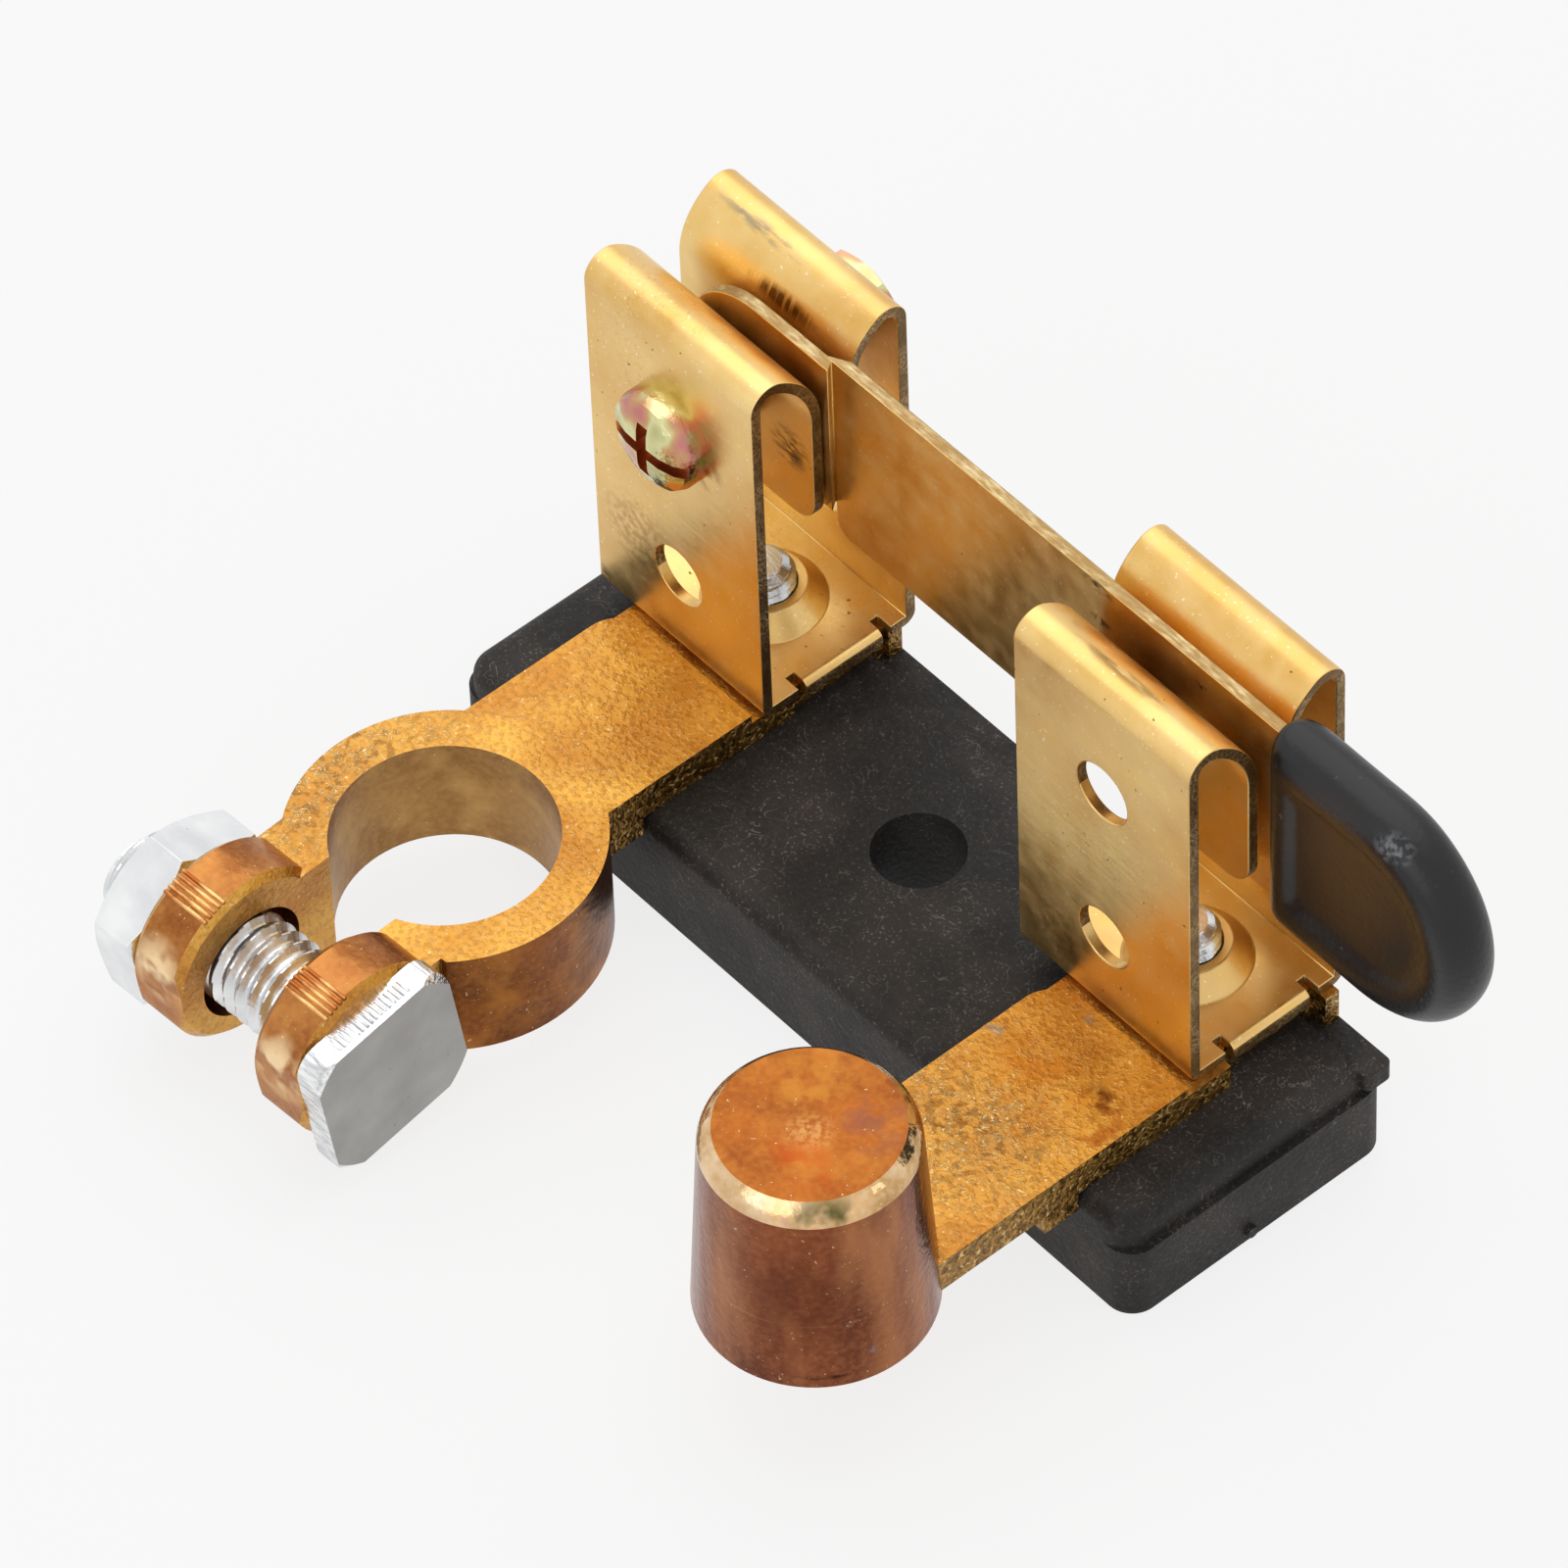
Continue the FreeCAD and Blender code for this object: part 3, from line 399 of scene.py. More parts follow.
def worn_cast_edge(name="worn_cast_edge"):
    """Edge of a casting: rubbed to bright gold in places and copper red between them."""
    material, tree, shader, place = start_material(name, 1.0, 0.3)
    rub = grain(tree, place, 2.6, 0.4, 0.62, detail=4)
    colour = layer(tree, [rub], "B0622C", "F2CC88")
    surfaced(tree, shader, colour, ((rub, 0.05),))
    return material


def zinc_plate(name, pale, shade, roughness=0.28):
    """Bright zinc on steel: pale grey, faintly clouded, with tiny dark pores."""
    material, tree, shader, place = start_material(name, 1.0, roughness)
    cloud = grain(tree, place, 3.5, 0.3, 0.7, detail=4)
    pores = grain(tree, place, 0.5, 0.74, 0.78)
    colour = layer(tree, [cloud], shade, pale)
    colour = layer(tree, [pores], colour, "55504A", 0.5)
    fine = grain(tree, place, 0.3, 0.3, 0.7, detail=3)
    surfaced(tree, shader, colour, ((fine, 0.008), (cloud, 0.015)))
    return material


def trimmed_zinc(name="trimmed_zinc_side"):
    """Sides of the square head: sheared, so they carry fine bright ridges."""
    material, tree, shader, place = start_material(name, 1.0, 0.25)
    ridges = grain(tree, place, 0.32, 0.35, 0.65, stretch=(0.2, 1, 1))
    colour = layer(tree, [ridges], "C2C4C6", "F7F8F8")
    surfaced(tree, shader, colour, ((ridges, 0.03),))
    return material


def yellow_zinc(name="yellow_passivated_zinc"):
    """Yellow-passivated zinc: thin film that drifts from straw to green and pink."""
    material, tree, shader, place = start_material(name, 1.0, 0.2)
    drift = add(tree, "ShaderNodeTexNoise",
                {"Vector": place, "Scale": per_mm(3.5), "Detail": 1.5})
    film = add(tree, "ShaderNodeValToRGB", {"Fac": drift.outputs[0]},
               stops=((0.3, "B8B27A"), (0.44, "D9D6A0"), (0.52, "C9A070"), (0.6, "C77F7A"),
                      (0.7, "8E9A6A")))
    ripple = grain(tree, place, 0.8, 0.3, 0.7)
    surfaced(tree, shader, film.outputs[0], ((ripple, 0.03),))
    return material


def moulded_black(look, name="moulded_black_plastic"):
    """Matte black thermoset moulding: grainy, with settled dust, lint and grey scuffs."""
    material, tree, shader, place = start_material(name, 0.0, 0.6)
    shader.inputs["Specular IOR Level"].default_value = 0.3
    skin = grain(tree, place, 0.5, 0.3, 0.7, detail=4)
    scuff = grain(tree, place, 6, 0.42, 0.68, detail=4, shift=(2, 6, 3))
    colour = layer(tree, [skin], "141211", tuple(look.base_black))
    colour = layer(tree, [scuff], colour, "3E3834", 0.7)
    settled = add(tree, "ShaderNodeMapRange", {"Value": scuff, "To Min": 0.35, "To Max": 1.0})
    dust = add(tree, "ShaderNodeMath",
               {0: grain(tree, place, 0.24, 0.6, 0.72), 1: settled.outputs[0]},
               operation="MULTIPLY").outputs[0]
    colour = layer(tree, [dust], colour, "9A9288", 0.5)
    lint = worms(tree, place, 3.0, 0.005)
    colour = layer(tree, (lint, settled.outputs[0]), colour, "A8A298", 0.6)
    surfaced(tree, shader, colour, ((skin, 0.04), (dust, 0.02)))
    return material


def dipped_vinyl(look, name="dipped_vinyl"):
    """Dipped soft vinyl: satin black with a painted brown reflection in the dish and fine scuffs."""
    material, tree, shader, place = start_material(name, 0.0, 0.34)
    shader.inputs["Specular IOR Level"].default_value = 0.4
    # painted brown reflection of the brass jaw in the middle of the dish
    bloom = patch(tree, place, (40.0, 4.4, 40.0), (6.8, 2.2, 7.5), soft=0.9)
    scuff = grain(tree, place, 0.4, 0.7, 0.76, detail=3, stretch=(1, 1, 0.3))
    colour = layer(tree, [bloom], tuple(look.grip_black), "46301C", 0.75)
    colour = layer(tree, [scuff], colour, "77736C", 0.35)
    rubbed = patch(tree, place, (45.4, 4.6, 46.0), (1.8, 2.0, 1.2))
    specks = grain(tree, place, 0.5, 0.45, 0.6)
    colour = layer(tree, (rubbed, specks), colour, "8A8C92", 0.6)
    skin = grain(tree, place, 0.6, 0.3, 0.7, detail=3)
    surfaced(tree, shader, colour, ((skin, 0.015), (scuff, 0.01)))
    return material


def link(name, mesh):
    """A new object at the origin that shows a mesh."""
    piece = bpy.data.objects.new(name, mesh)
    bpy.context.scene.collection.objects.link(piece)
    return piece


def welded_copy(node, name):
    """A copy of a CAD node with its triangles welded and its flat faces made whole."""
    source = frame["nodes"][node].data
    mesh = bpy.data.meshes.new(name)
    mesh.from_pydata([v.co for v in source.vertices], [], [p.vertices for p in source.polygons])
    work = bmesh.new()
    work.from_mesh(mesh)
    bmesh.ops.remove_doubles(work, verts=work.verts, dist=0.001 * MM)
    bmesh.ops.dissolve_degenerate(work, edges=work.edges, dist=0.0005 * MM)
    bmesh.ops.dissolve_limit(work, angle_limit=math.radians(0.5), verts=work.verts,
                             edges=work.edges, use_dissolve_boundaries=False)
    work.to_mesh(mesh)
    work.free()
    return link(name, mesh)


def finish_faces(piece, materials, choose=None, crease=35):
    """Gives each face its material, and shades the piece smooth up to a crease angle."""
    for material in materials:
        piece.data.materials.append(material)
    if choose:
        for face in piece.data.polygons:
            face.material_index = choose(face.center, face.normal)
    piece.data.shade_smooth()
    piece.data.set_sharp_from_angle(angle=math.radians(crease))


def break_edges(piece, width, material=-1, segments=2):
    """Rounds a piece's sharp edges, in a material of their own if one is named."""
    bevel = piece.modifiers.new("edges", "BEVEL")
    bevel.width = width
    bevel.segments = segments
    bevel.limit_method = "ANGLE"
    bevel.angle_limit = math.radians(40)
    bevel.material = material


def round_edges(piece, width, where, material, segments=5):
    """Rounds the sharp edges whose middle passes a test, in a material of their own."""
    mesh = piece.data
    weights = mesh.attributes.new("bevel_weight_edge", "FLOAT", "EDGE")
    sharp = mesh.attributes["sharp_edge"].data
    for edge in mesh.edges:
        start, end = (mesh.vertices[index].co for index in edge.vertices)
        if sharp[edge.index].value and where((start + end) / 2):
            weights.data[edge.index].value = 1.0
    bevel = piece.modifiers.new("shoulder", "BEVEL")
    bevel.width = width
    bevel.segments = segments
    bevel.limit_method = "WEIGHT"
    bevel.material = material


def stands_for(piece, node, body):
    """Puts a finished piece in the place of a CAD node."""
    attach(piece, body)
    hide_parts(node)


def near_axis(point, base, axis, radius):
    """Whether a point lies within a radius of a line."""
    offset = Vector(point) - Vector(base)
    return (offset - offset.project(Vector(axis))).length < radius


def start_tree(name, lengths, number):
    """A geometry node tree with its lengths, a whole number and a material to set."""
    tree = bpy.data.node_groups.new(name, "GeometryNodeTree")
    kinds = [(length, "NodeSocketFloat") for length in lengths]
    kinds += [(number, "NodeSocketInt"), ("Material", "NodeSocketMaterial")]
    for title, kind in kinds:
        tree.interface.new_socket(name=title, in_out="INPUT", socket_type=kind)
    tree.interface.new_socket(name="Geometry", in_out="OUTPUT", socket_type="NodeSocketGeometry")
    return tree, add(tree, "NodeGroupInput").outputs


def end_tree(tree, given, shape):
    """Makes a tree's instances real, gives them their material and puts them out."""
    real = add(tree, "GeometryNodeRealizeInstances", {"Geometry": shape.outputs[0]})
    painted = add(tree, "GeometryNodeSetMaterial",
                  {"Geometry": real.outputs[0], "Material": given["Material"]})
    add(tree, "NodeGroupOutput", {"Geometry": painted.outputs[0]})
    return tree


def thread_tree():
    """Geometry nodes that wind a screw thread as one tube, from its size, pitch and depth."""
    lengths = ("Length", "Radius", "Pitch", "Depth", "Bevel")
    tree, given = start_tree("screw_thread", lengths, "Rings")
    around = 49
    grid = add(tree, "GeometryNodeMeshGrid", {"Vertices Y": given["Rings"], "Size X": 1.0,
                                              "Size Y": 1.0, "Vertices X": around})
    spot = add(tree, "ShaderNodeSeparateXYZ",
               {0: add(tree, "GeometryNodeInputPosition").outputs[0]}).outputs
    # Each row names a result, then what is done, and to which earlier results or numbers. The
    # grid's X is one turn about the screw, and its Y runs from the foot to the tip.
    rows = (
        ("turn", "ADD", "spot x", 0.5),
        ("share", "ADD", "spot y", 0.5),
        ("height", "MULTIPLY", "share", "Length"),
        ("turns up", "DIVIDE", "height", "Pitch"),
        ("phase left", "SUBTRACT", "turns up", "turn"),
        ("phase", "FRACT", "phase left"),
        ("twice", "MULTIPLY", "phase", 2.0),
        ("side", "SUBTRACT", "twice", 1.0),
        ("slope", "ABSOLUTE", "side"),
        ("steep", "MULTIPLY", "slope", 1.25),
        ("groove", "SMOOTH_MIN", "steep", 1.0, 0.15),
        ("from tip", "SUBTRACT", "Length", "height"),
        ("past bevel", "SUBTRACT", "Bevel", "from tip"),
        ("bevel", "MAXIMUM", "past bevel", 0.0),
        ("outer", "SUBTRACT", "Radius", "bevel"),
        ("cut", "MULTIPLY", "groove", "Depth"),
        ("radius", "SUBTRACT", "outer", "cut"),
        ("angle", "MULTIPLY", "turn", 2 * math.pi),
        ("cosine", "COSINE", "angle"),
        ("sine", "SINE", "angle"),
        ("x", "MULTIPLY", "radius", "cosine"),
        ("y", "MULTIPLY", "radius", "sine"),
    )
    known = {"spot x": spot["X"], "spot y": spot["Y"]}
    for name in lengths:
        known[name] = given[name]
    for result, operation, *terms in rows:
        sources = {index: known.get(term, term) for index, term in enumerate(terms)}
        known[result] = add(tree, "ShaderNodeMath", sources, operation=operation).outputs[0]
    place = add(tree, "ShaderNodeCombineXYZ",
                {"X": known["x"], "Y": known["y"], "Z": known["height"]})
    wound = add(tree, "GeometryNodeSetPosition",
                {"Geometry": grid.outputs["Mesh"], "Position": place.outputs[0]})
    closed = add(tree, "GeometryNodeMergeByDistance",
                 {"Geometry": wound.outputs[0], "Distance": 0.001 * MM})
    return end_tree(tree, given, closed)


def ridge_tree():
    """Geometry nodes that lay a row of thin rods side by side over a round or flat surface."""
    tree, given = start_tree("ridge_row", ("Start", "Step", "Surface", "Length", "Radius"), "Count")
    first = add(tree, "ShaderNodeCombineXYZ", {"X": given["Start"]})
    apart = add(tree, "ShaderNodeCombineXYZ", {"X": given["Step"]})
    row = add(tree, "GeometryNodeMeshLine", {"Count": given["Count"],
                                             "Start Location": first.outputs[0],
                                             "Offset": apart.outputs[0]})
    along = add(tree, "ShaderNodeSeparateXYZ",
                {0: add(tree, "GeometryNodeInputPosition").outputs[0]}).outputs["X"]
    square = add(tree, "ShaderNodeMath", {0: along, 1: along}, operation="MULTIPLY")
    radius = add(tree, "ShaderNodeMath", {0: given["Surface"], 1: given["Surface"]},
                 operation="MULTIPLY")
    rise = add(tree, "ShaderNodeMath", {0: radius.outputs[0], 1: square.outputs[0]},
               operation="SUBTRACT")
    height = add(tree, "ShaderNodeMath", {0: rise.outputs[0]}, operation="SQRT")
    lifted = add(tree, "ShaderNodeCombineXYZ", {"X": along, "Y": height.outputs[0]})
    laid = add(tree, "GeometryNodeSetPosition",
               {"Geometry": row.outputs[0], "Position": lifted.outputs[0]})
    rod = add(tree, "GeometryNodeMeshCylinder",
              {"Radius": given["Radius"], "Depth": given["Length"], "Vertices": 12})
    rods = add(tree, "GeometryNodeInstanceOnPoints",
               {"Points": laid.outputs[0], "Instance": rod.outputs[0]})
    return end_tree(tree, given, rods)


def grown(tree, inputs, place):
    """Grows a node tree into a plain mesh, and puts it in place."""
    holder = link("grown", bpy.data.meshes.new("grown"))
    modifier = holder.modifiers.new("grow", "NODES")
    modifier.node_group = tree
    for socket in tree.interface.items_tree:
        if socket.in_out == "INPUT" and socket.name in inputs:
            modifier[socket.identifier] = inputs[socket.name]
    depsgraph = bpy.context.evaluated_depsgraph_get()
    mesh = bpy.data.meshes.new_from_object(holder.evaluated_get(depsgraph))
    holder.modifiers.remove(modifier)
    bpy.data.objects.remove(holder)
    mesh.transform(place)
    return mesh


def close_holes(mesh):
    """Fills a mesh's open ends and turns its faces outwards."""
    work = bmesh.new()
    work.from_mesh(mesh)
    rims = [edge for edge in work.edges if edge.is_boundary]
    bmesh.ops.holes_fill(work, edges=rims, sides=0)
    bmesh.ops.recalc_face_normals(work, faces=work.faces)
    work.to_mesh(mesh)
    work.free()


def pointing(start, axis):
    """The place of something that stands at a start point along an axis."""
    turn = Vector((0, 0, 1)).rotation_difference(Vector(axis)).to_matrix().to_4x4()
    return Matrix.Translation(Vector(start)) @ turn


def thread(tree, start, axis, length, radius, pitch, depth, bevel, material):
    """One closed thread from a start point along an axis."""
    rings_a_turn = 10
    mesh = grown(tree, {
        "Length": length, "Radius": radius, "Pitch": pitch, "Depth": depth, "Bevel": bevel,
        "Rings": int(length / pitch * rings_a_turn) + 1, "Material": material,
    }, pointing(start, axis))
    close_holes(mesh)
    return mesh


def without_shank(node, name, start, axis, radius):
    """A welded copy of a screw's head, with its plain shank taken away."""
    piece = welded_copy(node, name)
    work = bmesh.new()
    work.from_mesh(piece.data)
    along = Vector(axis)
    shank = []
    for face in work.faces:
        centre = face.calc_center_median()
        reach = (centre - Vector(start)).dot(along)
        if reach > 0.02 * MM and near_axis(centre, start, axis, radius * 1.02):
            shank.append(face)
    bmesh.ops.delete(work, geom=shank, context="FACES")
    work.to_mesh(piece.data)
    work.free()
    close_holes(piece.data)
    return piece


def joined(name, pieces, meshes):
    """One object from several pieces and meshes that belong together."""
    extras = [link("extra", mesh) for mesh in meshes]
    whole = pieces[0]
    with bpy.context.temp_override(active_object=whole, selected_editable_objects=pieces + extras):
        bpy.ops.object.join()
    whole.name = name
    whole.data.name = name
    return whole


def named(items, name):
    """The joint or mount of that name."""
    return next(item for item in items if item["name"] == name)


def clamp_axis():
    """The middle of the clamp's bolt, its direction, and the way out from the ring."""
    joint = named(frame["joints"], "nut_turn")
    ring = Vector(named(frame["record"]["mounts"], "post_clamp")["pos_m"])
    axis = Vector(joint["axis"])
    start = Vector(joint["pos_m"])
    foot = start + axis * (ring - start).dot(axis)
    return foot, axis, (foot - ring).normalized()


def looks():
    """The settings that the panel shows."""
    scene = bpy.context.scene
    return scene.switch_finish, scene.switch_thread, scene.switch_grip, scene.switch_stage


class SWITCH_OT_base(bpy.types.Operator):
    """Moulds the black base."""

    bl_idname = "switch.base"
    bl_label = "Base"

    def execute(self, context):
        finish = looks()[0]
        base = welded_copy("base", "base_moulding")
        finish_faces(base, [moulded_black(finish)])
        break_edges(base, finish.base_edge, segments=3)
        stands_for(base, "base", "frame")
        return {"FINISHED"}


class SWITCH_OT_arms(bpy.types.Operator):
    """Casts the clamp arm and the post arm."""

    bl_idname = "switch.arms"
    bl_label = "Arms"

    def execute(self, context):
        finish = looks()[0]
        flank = cast_flank()
        edge = worn_cast_edge()
        self.cast_clamp(finish, flank, edge)
        self.cast_post(finish, flank, edge)
        return {"FINISHED"}

    def cast_clamp(self, finish, flank, edge):
        """The arm with the split ring, and the cast ribs across its two ears."""
        foot, axis, forward = clamp_axis()
        bore = named(frame["record"]["mounts"], "post_clamp")
        bore_radius = (bore["dims"]["r_mm"] + 0.3) * MM
        arm_y = -14 * MM
        ear_y = foot.y + 6 * MM
        ears = (5.75 * MM, -7.05 * MM)
        ear_front = 6.4 * MM
        # Painted highlight: a pale gold patch on the rounded front of each ear
        rubbed = [(tuple((foot + axis * ear + forward * ear_front) / MM + Vector((0, 0, 2.4))),
                   (3.4, 2.4, 3.4), "FFE0AE", 0.9, 2.5, (1, 1, 1)) for ear in ears]
        skin = pickled_skin("pickled_ear_skin", "8E5228", "B47440", "D0924E", 0.3, marks=rubbed)
        clamp = welded_copy("clamp_arm", "clamp_arm_casting")

        def face_of_clamp(centre, normal):
            if centre.y > arm_y:
                return 1 if abs(normal.z) < 0.5 else 0
            if centre.y < ear_y:
                return 0 if abs(normal.dot(axis)) > 0.7 else 4
            if abs(normal.z) > 0.5:
                return 0
            return 5 if near_axis(centre, bore["pos_m"], (0, 0, 1), bore_radius) else 2

        finish_faces(clamp, [
            cast_brass(finish, "cast_brass_clamp", ((-32, -29, 14.3), (9, 13, 8))), flank,
            pickled_skin("pickled_ring_side", "663818", "864C20", "AE7030", 0.34), edge, skin,
            pickled_skin("pickled_ring_bore", "8C6234", "A67C46", "C69C5E", 0.4)], face_of_clamp)
        break_edges(clamp, finish.cast_edge, material=3)
        stands_for(clamp, "clamp_arm", "frame")

        upright = Matrix((forward, (0, 0, 1), forward.cross(Vector((0, 0, 1))))).transposed()
        tree = ridge_tree()
        rows = [grown(tree, {
            "Count": 5, "Start": 1.75 * MM, "Step": 0.46 * MM, "Surface": EAR_RADIUS,
            "Length": 4.4 * MM, "Radius": 0.17 * MM, "Material": edge,
        }, Matrix.Translation(foot + axis * ear + Vector((0, 0, EAR_RISE))) @ upright.to_4x4())
            for ear in ears]
        ribs = joined("clamp_ear_ribs", [link("clamp_ear_ribs", rows[0])], rows[1:])
        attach(ribs, "frame")

    def cast_post(self, finish, flank, edge):
        """The arm with the tapered stud, its shoulder rounded and given a painted highlight."""
        top = Vector(named(frame["record"]["mounts"], "terminal_stud")["pos_m"])
        foot_radius = 9.05 * MM
        arm_top = 13.2 * MM
        shoulder = 1.1 * MM

        def face_of_post(centre, normal):
            if near_axis(centre, top, (0, 0, 1), foot_radius) and (
                    centre.z > arm_top or centre.y < top.y - 2 * MM or abs(normal.z) < 0.5):
                if centre.z > top.z - 0.02 * MM:
                    return 3
                return 5 if centre.z > top.z - shoulder else 4
            return 1 if abs(normal.z) < 0.5 else 0

        post = welded_copy("post_arm", "post_arm_casting")
        finish_faces(post, [
            cast_brass(finish, "cast_brass_post", ((24.0, -16.5, 13.1), (9, 7.5, 3)), POST_MARKS),
            flank, edge,
            pickled_skin("pickled_stud_top", "7E4220", "A05A26", "BE7A34", 0.34, marks=CAP_MARKS),
            pickled_skin("pickled_stud_wall", "5E3020", "85482C", "B0744A", 0.22, (1, 1, 0.3),
                         STUD_MARKS),
            # The shoulder is a much lighter copy of the stud's skin: a painted highlight
            pickled_skin("rubbed_stud_shoulder", "B08A50", "E8BC88", "FFE6C4", 0.16,
                         marks=SHOULDER_MARKS)], face_of_post)
        round_edges(post, shoulder, lambda middle: abs(middle.z - top.z + shoulder) < 0.4 * MM
                    and near_axis(middle, top, (0, 0, 1), foot_radius), 5)
        break_edges(post, finish.cast_edge, material=2)
        stands_for(post, "post_arm", "frame")


class SWITCH_OT_brackets(bpy.types.Operator):
    """Folds the pivot bracket and the jaw bracket."""

    bl_idname = "switch.brackets"
    bl_label = "Brackets"

    def execute(self, context):
        finish = looks()[0]
        torn = sheared_brass()
        for node, marks in (("pivot_bracket", PIVOT_MARKS), ("jaw_bracket", JAW_MARKS)):
            sheet = rolled_brass(finish, "rolled_brass_" + node, marks)
            bracket = welded_copy(node, node + "_pressing")
            finish_faces(bracket, [sheet, torn], lambda centre, normal: int(abs(normal.x) > 0.9))
            break_edges(bracket, finish.sheet_edge)
            stands_for(bracket, node, "frame")
        return {"FINISHED"}


class SWITCH_OT_blade(bpy.types.Operator):
    """Cuts the contact blade."""

    bl_idname = "switch.blade"
    bl_label = "Blade"

    def execute(self, context):
        finish = looks()[0]
        sheet = rolled_brass(finish, "rolled_brass_blade", BLADE_MARKS)
        cut = sheared_brass("cut_brass_edge", "A08050", "DAC698")
        blade = welded_copy("blade", "blade_strip")
        finish_faces(blade, [sheet, cut], lambda centre, normal: int(abs(normal.y) < 0.3))
        break_edges(blade, finish.sheet_edge)
        stands_for(blade, "blade", "knife")
        return {"FINISHED"}


def handle_ring(low, high, inset, mouth_inset, y, steps):
    """One ring of the handle's rounded outline, moved in from the rim."""
    half = (high.z - low.z) / 2 - inset
    mid_z = (high.z + low.z) / 2
    round_x = high.x - (high.z - low.z) / 2
    mouth_x = low.x + mouth_inset
    corner = min(1.2 * MM, half / 3)
    side_steps = 6
    corner_steps = 4
    mouth_steps = 8
    outline = []
    for step in range(steps):
        angle = math.pi * (0.5 - step / (steps - 1))
        outline.append((round_x + half * math.cos(angle), mid_z + half * math.sin(angle)))
    for step in range(1, side_steps + 1):
        outline.append((round_x + (mouth_x + corner - round_x) * step / side_steps, mid_z - half))
    for step in range(1, corner_steps + 1):
        angle = math.radians(-90 - 90 * step / corner_steps)
        outline.append((mouth_x + corner + corner * math.cos(angle),
                        mid_z - half + corner + corner * math.sin(angle)))
    for step in range(1, mouth_steps + 1):
        outline.append((mouth_x,
                        mid_z - half + corner + (2 * half - 2 * corner) * step / mouth_steps))
    for step in range(1, corner_steps + 1):
        angle = math.radians(180 - 90 * step / corner_steps)
        outline.append((mouth_x + corner + corner * math.cos(angle),
                        mid_z + half - corner + corner * math.sin(angle)))
    for step in range(1, side_steps):
        outline.append((mouth_x + corner + (round_x - mouth_x - corner) * step / side_steps,
                        mid_z + half))
    return [(x, y, z) for x, z in outline]


class SWITCH_OT_grip(bpy.types.Operator):
    """Dips the handle."""

    bl_idname = "switch.grip"
    bl_label = "Grip"

    def execute(self, context):
        finish, _, form, _ = looks()
        low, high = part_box("handle_grip")
        mid_y = (low.y + high.y) / 2
        thick = (high.y - low.y) / 2
        rim_steps = 5
        rim_fullness = 0.9
        mouth_share = 0.72
        nose_points = 25
        wobble_size = 6
        profile = []
        for step in range(rim_steps + 1):
            angle = math.radians(90 * step / rim_steps)
            profile.append((thick * (1 - math.cos(angle)) * rim_fullness, thick * math.sin(angle)))
        profile += [(form.rim_width, thick - 0.08 * MM),
                    (form.rim_width + 0.8 * MM, thick - form.dish_depth * 0.7),
                    (form.rim_width + 1.7 * MM, thick - form.dish_depth),
                    (form.rim_width + 3.6 * MM, thick - form.dish_depth)]
        work = bmesh.new()
        rings = []
        for side in (1, -1):
            for inset, rise in profile if side == 1 else profile[1:]:
                points = handle_ring(low, high, inset, inset * mouth_share, mid_y - side * rise,
                                     nose_points)
                rings.append((side, [work.verts.new(point) for point in points]))
        front = [ring for side, ring in rings if side == 1]
        back = [front[0]] + [ring for side, ring in rings if side == -1]
        for stack in (front, back):
            for inner, outer in zip(stack[1:], stack):
                count = len(outer)
                for index in range(count):
                    following = (index + 1) % count
                    work.faces.new((outer[index], outer[following], inner[following],
                                    inner[index]))
            work.faces.new(stack[-1])
        bmesh.ops.recalc_face_normals(work, faces=work.faces)
        noise.seed_set(WOBBLE_SEED)
        for vertex in work.verts:
            drift = noise.noise_vector(vertex.co * per_mm(wobble_size))
            vertex.co += drift * form.wobble
        mesh = bpy.data.meshes.new("handle_grip_dip")
        work.to_mesh(mesh)
        work.free()
        grip = link("handle_grip_dip", mesh)
        finish_faces(grip, [dipped_vinyl(finish)], crease=180)
        smooth = grip.modifiers.new("smooth", "SUBSURF")
        smooth.levels = 2
        smooth.render_levels = 2
        stands_for(grip, "handle_grip", "knife")
        return {"FINISHED"}


